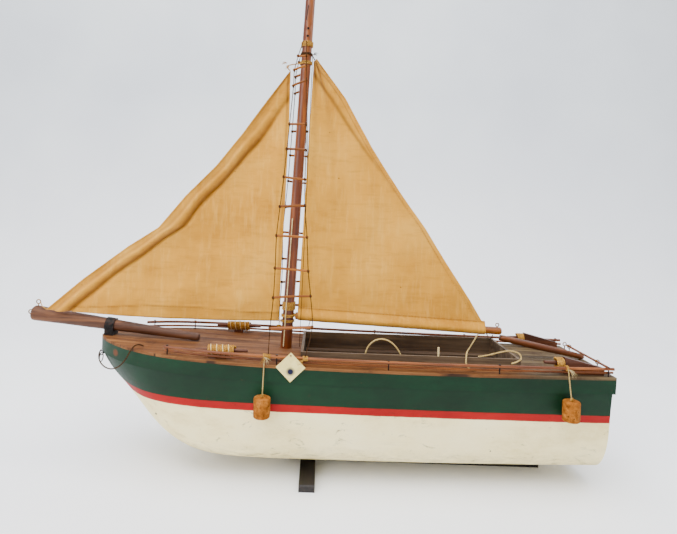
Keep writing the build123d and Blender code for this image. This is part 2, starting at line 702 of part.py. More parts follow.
for side, name in ((-1, "port"), (1, "starboard")):
    fore_route = [(mast_x(LADDER_TOP_Z) - 6, ladder_top_y, LADDER_TOP_Z + 3)]
    aft_route = [(mast_x(LADDER_TOP_Z) - 1, ladder_top_y, LADDER_TOP_Z + 3)]
    for fore_z, aft_z, fore_reach, aft_reach in LADDER_RUNGS:
        fore_x = mast_x(fore_z) - fore_reach + RUNG_END
        aft_x = mast_x(aft_z) + aft_reach - RUNG_END
        fore_route.append((fore_x, ladder_y(fore_z), fore_z))
        aft_route.append((aft_x, ladder_y(aft_z), aft_z))
    for x, route in ((LADDER_FOOT_FORE_X, fore_route), (LADDER_FOOT_AFT_X, aft_route)):
        route.append((x, rail_y(x), sheer(x) + UPPER_RAIL_RISE + UPPER_RAIL_RADIUS + 0.7))

    with BuildPart() as ladder_ropes:
        for x, route in ((LADDER_FOOT_FORE_X, fore_route), (LADDER_FOOT_AFT_X, aft_route)):
            add_cord(on_side(side, route), LADDER_ROPE_RADIUS)
            rail_middle = (x, side * rail_y(x), sheer(x) + UPPER_RAIL_RISE)
            add_ring(Plane(origin=rail_middle, z_dir=(1, 0, 0)),
                     UPPER_RAIL_RADIUS + LADDER_ROPE_RADIUS + 0.35, LADDER_ROPE_RADIUS + 0.05)
    ladder_ropes.part.label = f"ladder_ropes_{name}"
    export_step(ladder_ropes.part, f"parts/ladder_ropes_{name}.step")

    with BuildPart() as ladder_rungs:
        for fore_z, aft_z, fore_reach, aft_reach in LADDER_RUNGS:
            out = LADDER_ROPE_RADIUS + LADDER_RUNG_RADIUS + 0.05
            fore_end = (mast_x(fore_z) - fore_reach, side * (ladder_y(fore_z) + out), fore_z)
            aft_end = (mast_x(aft_z) + aft_reach, side * (ladder_y(aft_z) + out), aft_z)
            add_rod(fore_end, aft_end, LADDER_RUNG_RADIUS, LADDER_RUNG_RADIUS)
        chamfer(ladder_rungs.edges().filter_by(GeomType.CIRCLE), length=0.4)
    ladder_rungs.part.label = f"ladder_rungs_{name}"
    export_step(ladder_rungs.part, f"parts/ladder_rungs_{name}.step")

# ---- halyards -------------------------------------------------------------------------
with BuildPart() as halyard_light:
    add_rod((mast_x(383) - 3.4, -10.0, 383), (mast_x(181) - 3.4, -14.6, 181),
            LIGHT_HALYARD_RADIUS, LIGHT_HALYARD_RADIUS)
halyard_light.part.label = "halyard_light"
export_step(halyard_light.part, "parts/halyard_light.step")

with BuildPart() as halyard_dark:
    add_rod((-15.0, DARK_HALYARD_Y + 1, 644), (-19.8, DARK_HALYARD_Y, 180), 0.5, 0.5)
    add_ring(Plane(origin=(-19.9, DARK_HALYARD_Y, 178.2), z_dir=(0, 1, 0)), 2.2, 0.5)
halyard_dark.part.label = "halyard_dark"
export_step(halyard_dark.part, "parts/halyard_dark.step")

# ---- jib ------------------------------------------------------------------------------
jib_tack = Vector(-422, -13.6, 226)
jib_clew = Vector(-54.5, -3.0, 218.5)
jib_head = Vector(-50, 0, 619)
jib_plane = Plane(origin=jib_tack, x_dir=jib_clew - jib_tack,
                  z_dir=(jib_clew - jib_tack).cross(jib_head - jib_tack))


def on_jib(x, z):
    """Point of the jib's plane, in the plane's own coordinates."""
    normal = jib_plane.z_dir
    y = jib_tack.Y - (normal.X * (x - jib_tack.X) + normal.Z * (z - jib_tack.Z)) / normal.Y
    local = jib_plane.to_local_coords(Vector(x, y, z))
    return (local.X, local.Y)


with BuildPart() as jib:
    with BuildSketch(jib_plane):
        with BuildLine():
            Spline(*[on_jib(x, z) for x, z in JIB_LUFF])
            Polyline(*[on_jib(x, z) for x, z in JIB_LEECH])
            Spline(*[on_jib(x, z) for x, z in JIB_FOOT])
            Line(on_jib(*JIB_FOOT[-1]), on_jib(*JIB_LUFF[0]))
        make_face()
    extrude(amount=SAIL_THICKNESS / 2, both=True)
jib.part.label = "jib"
export_step(jib.part, "parts/jib.step")

with BuildPart() as jib_ties:
    add_ring(mast_plane(632), mast_radius(632) + 1.3, 1.2)
    add_rod((mast_x(632) - mast_radius(632) - 1.3, 0, 632), (-49.6, 0, 621), 1.0, 1.0)
    add_ring(mast_plane(219), mast_radius(219) + 1.1, 1.0)
    add_rod((mast_x(219) - mast_radius(219) - 1.1, 0, 219), (-53.6, -2.2, 219), 0.8, 0.8)
    add_rod((TACK_EYE[0] + EYE_RING_RADIUS - 0.6, -1.0, TACK_EYE[2]), (-423.0, -12.4, 227), 0.7, 0.7)
    add(mast.part, mode=Mode.SUBTRACT)
    add(bowsprit.part, mode=Mode.SUBTRACT)
    add(bowsprit_eyes.part, mode=Mode.SUBTRACT)
    add(jib.part, mode=Mode.SUBTRACT)
jib_ties.part.label = "jib_ties"
export_step(jib_ties.part, "parts/jib_ties.step")

# ---- boom and mainsail ----------------------------------------------------------------
with BuildPart() as boom:
    add_rod(BOOM_FORE, BOOM_AFT, BOOM_RADIUS, BOOM_RADIUS)
    chamfer(boom.edges().filter_by(GeomType.CIRCLE), length=1.0)


def boom_z(x):
    return mix(BOOM_FORE[2], BOOM_AFT[2], (x - BOOM_FORE[0]) / (BOOM_AFT[0] - BOOM_FORE[0]))


with BuildPart() as boom_eye:
    eye_z = boom_z(BOOM_EYE_X) + BOOM_RADIUS
    add_ring(Plane(origin=(BOOM_EYE_X, 0, eye_z + 3.4), z_dir=(0, 1, 0)), 2.6, 0.7)
    add_rod((BOOM_EYE_X, 0, eye_z - 4), (BOOM_EYE_X, 0, eye_z + 0.9), 0.7, 0.7)
boom_eye.part.label = "boom_eye"
export_step(boom_eye.part, "parts/boom_eye.step")

with BuildPart() as boom_strop:
    add_ring(mast_plane(STROP_Z), mast_radius(STROP_Z) + RUNNING_GAP + STROP_RADIUS, STROP_RADIUS)
    add_rod((mast_x(STROP_Z) + mast_radius(STROP_Z) + 1.6, 0, STROP_Z), (BOOM_FORE[0] + 5, 0, STROP_Z),
            STROP_RADIUS, STROP_RADIUS)
boom_strop.part.label = "boom_strop"
export_step(boom_strop.part, "parts/boom_strop.step")

with BuildPart() as boom_bored:
    add(boom.part)
    add(boom_eye.part, mode=Mode.SUBTRACT)
    add(boom_strop.part, mode=Mode.SUBTRACT)
boom_bored.part.label = "boom"
export_step(boom_bored.part, "parts/boom.step")

with BuildPart() as mainsail:
    foot = [(x, boom_z(x) + BOOM_RADIUS + 0.3) for x in (MAIN_TACK_X, MAIN_CLEW_X)]
    with BuildSketch(Plane.XZ):
        with BuildLine():
            Spline(*MAIN_LEECH, foot[1])
            Line(foot[1], foot[0])
            Line(foot[0], MAIN_HEAD)
            Line(MAIN_HEAD, MAIN_LEECH[0])
        make_face()
    extrude(amount=SAIL_THICKNESS / 2, both=True)
mainsail.part.label = "mainsail"
export_step(mainsail.part, "parts/mainsail.step")

with BuildPart() as main_head_tie:
    tie_z = 646.0
    add_ring(mast_plane(tie_z), mast_radius(tie_z) + RUNNING_GAP + 0.9, 0.9)
    add_rod((mast_x(tie_z) + mast_radius(tie_z) + 1.2, 0, tie_z), (-12.0, 0, 639.0), 0.9, 0.9)
    add(mainsail.part, mode=Mode.SUBTRACT)
main_head_tie.part.label = "main_head_tie"
export_step(main_head_tie.part, "parts/main_head_tie.step")

# ---- tiller ---------------------------------------------------------------------------
with BuildPart() as tiller_screw:
    with Locations((TILLER_PIVOT_X, 0, STERN_DECK_Z - 8)):
        Cylinder(TILLER_SCREW_RADIUS, TILLER_SPOT_Z + 0.05 - STERN_DECK_Z + 8, align=MIN_Z)
    with Locations((TILLER_PIVOT_X, 0, TILLER_SPOT_Z + 0.05)):
        Cylinder(TILLER_SCREW_RADIUS + 1.5, 1.4, align=MIN_Z)
tiller_screw.part.label = "tiller_screw"
export_step(tiller_screw.part, "parts/tiller_screw.step")

with BuildPart() as tiller:
    add_rod(TILLER_AFT, TILLER_BULGE, 4.1, 5.6)
    add_rod(TILLER_BULGE, TILLER_FORE, 5.6, 4.8)
    with Locations(TILLER_FORE):
        Sphere(4.8)
    with Locations((TILLER_PIVOT_X, 0, TILLER_SPOT_Z)):
        Cylinder(TILLER_SCREW_RADIUS + 2.2, 20, align=MIN_Z, mode=Mode.SUBTRACT)
    with Locations((TILLER_PIVOT_X, 0, 0)):
        Cylinder(TILLER_SCREW_RADIUS + 0.05, 400, mode=Mode.SUBTRACT)
        Box(60, 60, STERN_DECK_Z + 0.3, align=MIN_Z, mode=Mode.SUBTRACT)
tiller.part.label = "tiller"
export_step(tiller.part, "parts/tiller.step")

# ---- fenders and tag on the port rail ---------------------------------------------------
for name, x, cork_z in FENDERS:
    rail_z = sheer(x) + UPPER_RAIL_RISE
    loop_radius = UPPER_RAIL_RADIUS + 0.25 + FENDER_ROPE_RADIUS
    cork_y = -(half_beam(x) * 0.985 + CORK_RADIUS + 0.4)
    cork_top = (x, cork_y, cork_z + CORK_HEIGHT / 2)
    with BuildPart() as fender_rope:
        add_ring(Plane(origin=(x, -rail_y(x), rail_z), z_dir=(1, 0, 0)), loop_radius, FENDER_ROPE_RADIUS)
        add_rod((x, -rail_y(x) - loop_radius, rail_z), cork_top, FENDER_ROPE_RADIUS - 0.05,
                FENDER_ROPE_RADIUS - 0.05)
    fender_rope.part.label = f"fender_rope_{name}"
    export_step(fender_rope.part, f"parts/fender_rope_{name}.step")

    with BuildPart() as fender_cork:
        with Locations((x, cork_y, cork_z)):
            Cylinder(CORK_RADIUS, CORK_HEIGHT)
        chamfer(fender_cork.edges().filter_by(GeomType.CIRCLE), length=0.8)
        add(fender_rope.part, mode=Mode.SUBTRACT)
    fender_cork.part.label = f"fender_cork_{name}"
    export_step(fender_cork.part, f"parts/fender_cork_{name}.step")

tag_rail = (TAG_X, -rail_y(TAG_X), sheer(TAG_X) + UPPER_RAIL_RISE)
tag_y = tag_rail[1] - 6.5
tag_hole_z = tag_rail[2] + 4.5

with BuildPart() as tag_string:
    loop = [(-6.5, 4.5), (0, 3.2), (3.1, 1.4), (3.1, -1.8), (0.5, -3.3), (-3.8, -1.5)]
    loop_points = [(TAG_X, tag_rail[1] + y, tag_rail[2] + z) for y, z in loop]
    with BuildLine() as string_route:
        FilletPolyline(*loop_points, radius=0.7, close=True)
    string_wire = string_route.wires()[0]
    with BuildSketch(Plane(origin=string_wire @ 0, z_dir=string_wire % 0)) as string_section:
        Circle(TAG_STRING_RADIUS)
    sweep(sections=string_section.sketch, path=string_wire)
tag_string.part.label = "tag_string"
export_step(tag_string.part, "parts/tag_string.step")

with BuildPart() as tag_board:
    with BuildSketch(Plane.XZ.offset(-tag_y)):
        with Locations((TAG_X, tag_hole_z + 4.5 - TAG_SIDE / sqrt(2))):
            Rectangle(TAG_SIDE, TAG_SIDE, rotation=45)
    extrude(amount=TAG_THICKNESS / 2, both=True)
    with Locations(Plane(origin=(TAG_X, tag_y, tag_hole_z), z_dir=(0, 1, 0))):
        Cylinder(1.5, 10, mode=Mode.SUBTRACT)
    add(tag_string.part, mode=Mode.SUBTRACT)
tag_board.part.label = "tag_board"
export_step(tag_board.part, "parts/tag_board.step")

# ---- cockpit ----------------------------------------------------------------------------
well_length = WELL_AFT_X - WELL_FORE_X

with BuildPart() as cockpit_coaming:
    with Locations((WELL_FORE_X, 0, LEDGE_TOP_Z)):
        Box(well_length, 2 * WELL_HALF_WIDTH, COAMING_TOP_Z - LEDGE_TOP_Z, align=MIN_XZ)
    with Locations((WELL_FORE_X + COAMING_THICKNESS, 0, LEDGE_TOP_Z)):
        Box(well_length - 2 * COAMING_THICKNESS, 2 * (WELL_HALF_WIDTH - COAMING_THICKNESS), 60,
            align=MIN_XZ, mode=Mode.SUBTRACT)
    fillet(cockpit_coaming.edges().filter_by(Axis.Z).sort_by(SortBy.LENGTH)[-8:], radius=1.0)
cockpit_coaming.part.label = "cockpit_coaming"
export_step(cockpit_coaming.part, "parts/cockpit_coaming.step")

for side, name in ((-1, "ledge_port"), (1, "ledge_starboard")):
    inner_y = WELL_HALF_WIDTH - COAMING_THICKNESS - LEDGE_WIDTH
    with BuildPart() as ledge:
        with Locations((WELL_FORE_X + BOARD, side * (inner_y + LEDGE_OVERALL / 2), LEDGE_TOP_Z - BOARD)):
            Box(well_length - 2 * BOARD, LEDGE_OVERALL, BOARD, align=MIN_XZ)
    ledge.part.label = name
    export_step(ledge.part, f"parts/{name}.step")

with BuildPart() as cockpit_sole:
    add(fitted_form)
    with Locations((WELL_FORE_X + BOARD, 0, SOLE_TOP_Z - BOARD)):
        Box(well_length - 2 * BOARD, 300, BOARD, align=MIN_XZ, mode=Mode.INTERSECT)
cockpit_sole.part.label = "cockpit_sole"
export_step(cockpit_sole.part, "parts/cockpit_sole.step")

for x, name in ((WELL_FORE_X, "bulkhead_fore"), (WELL_AFT_X - BOARD, "bulkhead_aft")):
    with BuildPart() as bulkhead:
        add(fitted_form)
        with Locations((x, 0, 0)):
            Box(BOARD, 300, LEDGE_TOP_Z, align=MIN_XZ, mode=Mode.INTERSECT)
    bulkhead.part.label = name
    export_step(bulkhead.part, f"parts/{name}.step")

with BuildPart() as coaming_peg:
    with Locations((PEG_X, -(WELL_HALF_WIDTH - COAMING_THICKNESS / 2), COAMING_TOP_Z)):
        Cylinder(PEG_RADIUS, PEG_HEIGHT, align=MIN_Z)
coaming_peg.part.label = "coaming_peg"
export_step(coaming_peg.part, "parts/coaming_peg.step")

# ---- stand ------------------------------------------------------------------------------
with BuildPart() as stand_screws:
    for x in (-FOOT_SCREW_X, FOOT_SCREW_X):
        with Locations((x, 0, 0.5)):
            Cone(3.0, 1.4, 1.8, align=MIN_Z)
            Cylinder(1.4, 17, align=MIN_Z)
stand_screws.part.label = "stand_screws"
export_step(stand_screws.part, "parts/stand_screws.step")

with BuildPart() as foot_bar:
    Box(FOOT_LENGTH_X, FOOT_LENGTH_Y, FOOT_HEIGHT, align=MIN_Z)
    with Locations((0, 0, FOOT_HEIGHT / 2)):
        Box(FOOT_LENGTH_X, KEEL_BOARD_WIDTH, FOOT_HEIGHT, align=MIN_Z, mode=Mode.SUBTRACT)
    chamfer(foot_bar.edges().filter_by(Axis.X).group_by(Axis.Z)[-1], length=1.5)
    add(stand_screws.part, mode=Mode.SUBTRACT)
    with Locations((-FOOT_SCREW_X, 0, 0), (FOOT_SCREW_X, 0, 0)):
        Cylinder(3.1, 0.5, align=MIN_Z, mode=Mode.SUBTRACT)
foot_bar.part.label = "foot_bar"
export_step(foot_bar.part, "parts/foot_bar.step")

with BuildPart() as keel_board:
    with Locations((KEEL_BOARD_FORE_X, 0, 0)):
        Box(KEEL_BOARD_AFT_X - KEEL_BOARD_FORE_X, KEEL_BOARD_WIDTH, KEEL_Z, align=MIN_XZ)
    Box(FOOT_LENGTH_X, KEEL_BOARD_WIDTH, FOOT_HEIGHT / 2, align=MIN_Z, mode=Mode.SUBTRACT)
    add(stand_screws.part, mode=Mode.SUBTRACT)
keel_board.part.label = "keel_board"
export_step(keel_board.part, "parts/keel_board.step")

# ---- free cords -----------------------------------------------------------------------
with BuildPart() as bow_rope:
    add_cord(BOW_ROPE_ROUTE, BOW_ROPE_RADIUS)
bow_rope.part.label = "bow_rope"
export_step(bow_rope.part, "parts/bow_rope.step")

with BuildPart() as mainsheet:
    add_cord(MAINSHEET_ROUTE, MAINSHEET_RADIUS)
mainsheet.part.label = "mainsheet"
export_step(mainsheet.part, "parts/mainsheet.step")

for name, route in COCKPIT_CORDS:
    with BuildPart() as cockpit_cord:
        add_cord(route, COCKPIT_CORD_RADIUS)
    cockpit_cord.part.label = name
    export_step(cockpit_cord.part, f"parts/{name}.step")

# ---- deck and the pieces let into it ------------------------------------------------------
with BuildPart() as deck_board:
    add(outer_prism)
    add(sheer_band(0, DECK_THICKNESS, STERN_X, STERN_X), mode=Mode.INTERSECT)
    with Locations((WELL_FORE_X, 0, 100)):
        Box(well_length, 2 * WELL_HALF_WIDTH, 150, align=MIN_XZ, mode=Mode.SUBTRACT)
    for piece in (mast, nails, stern_eyes, bowsprit_bracket, fore_cleats, aft_cleats, tiller_screw):
        add(piece.part, mode=Mode.SUBTRACT)
deck_board.part.label = "deck_board"
export_step(deck_board.part, "parts/deck_board.step")

with BuildPart() as bowsprit_bored:
    add(bowsprit.part)
    add(bowsprit_eyes.part, mode=Mode.SUBTRACT)
    add(deck_board.part, mode=Mode.SUBTRACT)
bowsprit_bored.part.label = "bowsprit"
export_step(bowsprit_bored.part, "parts/bowsprit.step")

with BuildPart() as mast_bored:
    add(mast.part)
    add(nails.part, mode=Mode.SUBTRACT)
    add(mast_hook.part, mode=Mode.SUBTRACT)
mast_bored.part.label = "mast"
export_step(mast_bored.part, "parts/mast.step")
export_step(mast_step.part, "parts/mast_step.step")
export_step(nails.part, "parts/nails.step")

for bored, name, cutters in (
    (hull_shell, "hull_shell", (stem_eye,)),
    (sheer_strake_port, "sheer_strake_port", (nails, stem_eye)),
    (sheer_strake_starboard, "sheer_strake_starboard", (nails, stem_eye)),
    (transom_board, "transom_board", (stern_eyes, tiller_screw)),
):
    with BuildPart() as planking:
        add(bored.part)
        for cutter in cutters:
            add(cutter.part, mode=Mode.SUBTRACT)
    planking.part.label = name
    export_step(planking.part, f"parts/{name}.step")
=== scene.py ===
import math
import random

import bpy
from mathutils import Matrix, Vector, noise


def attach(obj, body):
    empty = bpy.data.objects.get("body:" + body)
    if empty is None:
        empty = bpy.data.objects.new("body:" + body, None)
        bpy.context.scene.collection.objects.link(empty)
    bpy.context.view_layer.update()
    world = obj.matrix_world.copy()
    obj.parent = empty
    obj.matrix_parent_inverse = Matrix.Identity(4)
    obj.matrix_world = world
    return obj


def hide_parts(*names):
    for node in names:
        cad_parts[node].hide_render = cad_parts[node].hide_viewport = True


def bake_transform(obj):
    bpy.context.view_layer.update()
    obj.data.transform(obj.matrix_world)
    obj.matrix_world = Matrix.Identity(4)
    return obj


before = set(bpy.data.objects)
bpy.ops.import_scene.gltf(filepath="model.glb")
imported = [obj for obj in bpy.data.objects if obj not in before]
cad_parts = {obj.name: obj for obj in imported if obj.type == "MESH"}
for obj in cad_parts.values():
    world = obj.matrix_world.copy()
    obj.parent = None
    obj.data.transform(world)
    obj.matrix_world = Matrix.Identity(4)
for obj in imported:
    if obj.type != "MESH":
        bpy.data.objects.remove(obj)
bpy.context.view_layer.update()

random.seed(11)
MM = 0.001
TURN = 2 * math.pi

# ---- camera: level, with its frame moved by lens shift, as the CAD was laid out ---------------
CAMERA_PLACE = (0.006, -0.803, 0.395)
CAMERA_ROLL = math.radians(2.0)
right = Vector((math.cos(CAMERA_ROLL), 0, math.sin(CAMERA_ROLL)))
up = Vector((-math.sin(CAMERA_ROLL), 0, math.cos(CAMERA_ROLL)))
camera_data = bpy.data.cameras.new("camera")
camera_data.lens = 26.6
camera_data.sensor_width = 36
camera_data.shift_x = 0.0267
camera_data.shift_y = -0.0813
camera = bpy.data.objects.new("camera", camera_data)
bpy.context.scene.collection.objects.link(camera)
turned = Matrix((right, up, (0, -1, 0))).transposed().to_4x4()
camera.matrix_world = Matrix.Translation(CAMERA_PLACE) @ turned
bpy.context.scene.camera = camera


# ---- finishes ------------------------------------------------------------------------------
SATURATION = 1.3
DEEPENING = 1.3
DARKEST = 0.0004


def rgb(r, g, b):
    """A linear colour from its sRGB bytes, deepened against the viewer's soft contrast."""
    plain = [((c / 255 + 0.055) / 1.055) ** 2.4 for c in (r, g, b)]
    grey = sum(plain) / 3
    return tuple(max(DARKEST, grey + (c - grey) * SATURATION) ** DEEPENING for c in plain) + (1.0,)


class Finish:
    """A procedural material that follows positions in the row frame."""

    def __init__(self, name, roughness=0.7, specular=0.35, metallic=0.0):
        self.material = bpy.data.materials.new(name)
        self.material.use_nodes = True
        self.nodes = self.material.node_tree.nodes
        self.links = self.material.node_tree.links
        self.nodes.clear()
        self.shader = self.nodes.new("ShaderNodeBsdfPrincipled")
        self.shader.inputs["Roughness"].default_value = roughness
        self.shader.inputs["Specular IOR Level"].default_value = specular
        self.shader.inputs["Metallic"].default_value = metallic
        output = self.nodes.new("ShaderNodeOutputMaterial")
        self.links.new(self.shader.outputs[0], output.inputs["Surface"])
        self.coordinates = self.nodes.new("ShaderNodeTexCoord")
        axes = self.nodes.new("ShaderNodeSeparateXYZ")
        self.links.new(self.coordinates.outputs["Object"], axes.inputs[0])
        self.x, self.y, self.z = axes.outputs
        self.bump_in = None

    def put(self, value, socket):
        if isinstance(value, bpy.types.NodeSocket):
            self.links.new(value, socket)
        else:
            socket.default_value = value

    def math(self, operation, a, b=0.0):
        node = self.nodes.new("ShaderNodeMath")
        node.operation = operation
        self.put(a, node.inputs[0])
        self.put(b, node.inputs[1])
        return node.outputs[0]

    def noise(self, scale, stretch=(1, 1, 1), detail=4.0, roughness=0.6, distortion=0.0):
        mapping = self.nodes.new("ShaderNodeMapping")
        mapping.inputs["Scale"].default_value = stretch
        self.links.new(self.coordinates.outputs["Object"], mapping.inputs[0])
        node = self.nodes.new("ShaderNodeTexNoise")
        self.links.new(mapping.outputs[0], node.inputs["Vector"])
        node.inputs["Scale"].default_value = scale
        node.inputs["Detail"].default_value = detail
        node.inputs["Roughness"].default_value = roughness
        node.inputs["Distortion"].default_value = distortion
        return node.outputs[0]

    def cells(self, scale, stretch=(1, 1, 1)):
        mapping = self.nodes.new("ShaderNodeMapping")
        mapping.inputs["Scale"].default_value = stretch
        self.links.new(self.coordinates.outputs["Object"], mapping.inputs[0])
        node = self.nodes.new("ShaderNodeTexVoronoi")
        self.links.new(mapping.outputs[0], node.inputs["Vector"])
        node.inputs["Scale"].default_value = scale
        return node.outputs["Distance"]

    def attribute(self, name):
        node = self.nodes.new("ShaderNodeAttribute")
        node.attribute_name = name
        return node.outputs["Fac"]

    def between(self, value, low, high):
        """0 below low, 1 above high."""
        node = self.nodes.new("ShaderNodeMapRange")
        self.put(value, node.inputs["Value"])
        node.inputs["From Min"].default_value = low
        node.inputs["From Max"].default_value = high
        return node.outputs[0]

    def ramp(self, factor, *stops):
        node = self.nodes.new("ShaderNodeValToRGB")
        self.links.new(factor, node.inputs[0])
        elements = node.color_ramp.elements
        elements[0].position, elements[0].color = stops[0]
        elements[1].position, elements[1].color = stops[-1]
        for position, colour in stops[1:-1]:
            elements.new(position).color = colour
        return node.outputs[0]

    def mix(self, factor, a, b, mode="MIX"):
        node = self.nodes.new("ShaderNodeMix")
        node.data_type = "RGBA"
        node.blend_type = mode
        self.put(factor, node.inputs[0])
        self.put(a, node.inputs[6])
        self.put(b, node.inputs[7])
        return node.outputs[2]

    def bump(self, height, depth, strength=1.0):
        node = self.nodes.new("ShaderNodeBump")
        node.inputs["Strength"].default_value = strength
        node.inputs["Distance"].default_value = depth
        self.links.new(height, node.inputs["Height"])
        if self.bump_in is not None:
            self.links.new(self.bump_in, node.inputs["Normal"])
        self.bump_in = node.outputs[0]
        self.links.new(self.bump_in, self.shader.inputs["Normal"])

    def paint(self, colour):
        self.links.new(colour, self.shader.inputs["Base Color"])

    def gloss(self, factor, low, high):
        node = self.nodes.new("ShaderNodeMapRange")
        self.put(factor, node.inputs["Value"])
        node.inputs["To Min"].default_value = low
        node.inputs["To Max"].default_value = high
        self.links.new(node.outputs[0], self.shader.inputs["Roughness"])

    def spot(self, x, z, radius):
        """1 at a round spot seen from the side, 0 away from it."""
        across = self.math("POWER", self.math("ABSOLUTE", self.math("SUBTRACT", self.x, x)), 2.0)
        along = self.math("POWER", self.math("ABSOLUTE", self.math("SUBTRACT", self.z, z)), 2.0)
        away = self.math("SQRT", self.math("ADD", across, along))
        return self.between(away, radius, radius * 0.45)


def wood(name, tones, grain, scale=60.0, roughness=0.65, specular=0.3, depth=0.00015, spots=0.35):
    """Timber with its grain along the axis where grain is small, darker pores and dirt."""
    made = Finish(name, roughness, specular)
    fibres = made.noise(scale, grain, 6.0, 0.65, 0.6)
    pores = made.noise(scale * 5, grain, 3.0, 0.7)
    dirt = made.noise(22.0, detail=5.0)
    base = made.ramp(fibres, (0.28, tones[0]), (0.5, tones[1]), (0.72, tones[2]))
    base = made.mix(made.between(pores, 0.56, 0.74), base, made.mix(0.55, base, tones[0], "MULTIPLY"))
    base = made.mix(made.math("MULTIPLY", made.between(dirt, 0.5, 0.75), spots), base, tones[0])
    made.paint(base)
    made.bump(fibres, depth, 0.7)
    made.bump(pores, depth * 0.6, 0.6)
    made.gloss(dirt, roughness - 0.12, roughness + 0.12)
    return made


def hull_finish():
    made = Finish("hull_paint", 0.55, 0.2)
    level = made.math("ADD", made.z, made.math("MULTIPLY", made.x, 0.009))
    wobble = made.noise(35.0, (1, 0.3, 1), 3.0)
    level = made.math("ADD", level, made.math("MULTIPLY", made.math("SUBTRACT", wobble, 0.5), 0.0016))
    mottle = made.noise(14.0, (0.5, 1, 1), 6.0, 0.7)
    streaks = made.noise(60.0, (0.06, 1, 1), 5.0, 0.65, 0.4)
    green = made.ramp(mottle, (0.3, rgb(2, 44, 26)), (0.52, rgb(4, 56, 35)), (0.75, rgb(10, 68, 44)))
    cream = made.ramp(mottle, (0.28, rgb(222, 208, 166)), (0.5, rgb(244, 234, 198)),
                      (0.75, rgb(250, 242, 212)))
    stained = made.math("MULTIPLY", made.between(streaks, 0.58, 0.75), 0.35)
    cream = made.mix(stained, cream, rgb(176, 163, 132))
    red = made.ramp(mottle, (0.3, rgb(138, 14, 10)), (0.7, rgb(168, 24, 16)))
    under = made.between(level, 0.1095, 0.1087)
    over = made.between(level, 0.1192, 0.1200)
    paint = made.mix(over, made.mix(under, red, cream), green)
    scuffs = made.noise(70.0, (0.6, 1, 1), 8.0, 0.75, 0.8)
    bare = made.ramp(streaks, (0.35, rgb(96, 70, 46)), (0.65, rgb(150, 116, 78)))
    chips = made.math("MULTIPLY", made.between(scuffs, 0.665, 0.70), made.between(mottle, 0.46, 0.56))
    paint = made.mix(chips, paint, bare)
    # painted shade: the hull side is painted darker brown towards its foot, broken into patches by the scuff
    # noise
    foot_painted_shade = made.math("MULTIPLY", made.between(made.z, 0.062, 0.026), made.between(scuffs, 0.38, 0.62))
    paint = made.mix(made.math("MULTIPLY", foot_painted_shade, 0.55), paint, rgb(120, 104, 80))
    drips = made.math("MULTIPLY", made.between(scuffs, 0.60, 0.66), 0.4)
    paint = made.mix(drips, paint, rgb(60, 52, 40))
    paint = made.mix(made.spot(-0.227, 0.088, 0.0022), paint, rgb(30, 24, 20))
    paint = made.mix(made.spot(-0.296, 0.172, 0.0065), paint, rgb(104, 70, 44))
    paint = made.mix(made.spot(0.262, 0.060, 0.0014), paint, rgb(44, 34, 28))
    # painted shade: faces turned in towards the centreline, the inner sides of the strakes, are painted
    # near-black brown
    geometry = made.nodes.new("ShaderNodeNewGeometry")
    facing = made.nodes.new("ShaderNodeSeparateXYZ")
    made.links.new(geometry.outputs["True Normal"], facing.inputs[0])
    inward_painted_shade = made.between(made.math("MULTIPLY", facing.outputs[1], made.y), -0.0005, -0.004)
    paint = made.mix(inward_painted_shade, paint, made.ramp(streaks, (0.3, rgb(20, 12, 8)), (0.7, rgb(42, 28, 20))))
    made.paint(paint)
    made.bump(streaks, 0.0003, 0.5)
    made.bump(scuffs, 0.0002, 0.5)
    made.gloss(scuffs, 0.42, 0.66)
    return made


def deck_finish():
    made = Finish("deck_boards", 0.75, 0.25)
    fibres = made.noise(70.0, (0.05, 1, 1), 6.0, 0.7, 0.5)
    dirt = made.noise(26.0, detail=6.0, roughness=0.7)
    fore = made.ramp(fibres, (0.3, rgb(82, 56, 38)), (0.5, rgb(124, 92, 66)), (0.72, rgb(158, 124, 92)))
    aft = made.ramp(fibres, (0.3, rgb(66, 54, 42)), (0.5, rgb(96, 82, 64)), (0.72, rgb(128, 114, 92)))
    base = made.mix(made.between(made.x, 0.27, 0.33), fore, aft)
    board = made.math("MULTIPLY", made.math("ABSOLUTE", made.y), 1 / 0.0135)
    seam = made.math("ABSOLUTE", made.math("SUBTRACT", made.math("FRACT", board), 0.5))
    line = made.between(seam, 0.455, 0.478)
    base = made.mix(made.math("MULTIPLY", line, 0.8), base, rgb(34, 24, 18))
    base = made.mix(made.math("MULTIPLY", made.between(dirt, 0.52, 0.72), 0.6), base, rgb(58, 38, 26))
    edge = made.between(made.z, 0.1678, 0.1676)
    made.paint(made.mix(edge, base, rgb(150, 118, 82)))
    made.bump(fibres, 0.0003, 0.7)
    made.bump(made.math("SUBTRACT", 1.0, line), 0.0004, 0.8)
    made.gloss(dirt, 0.6, 0.9)
    return made


WEAVE_PITCH = 0.0011


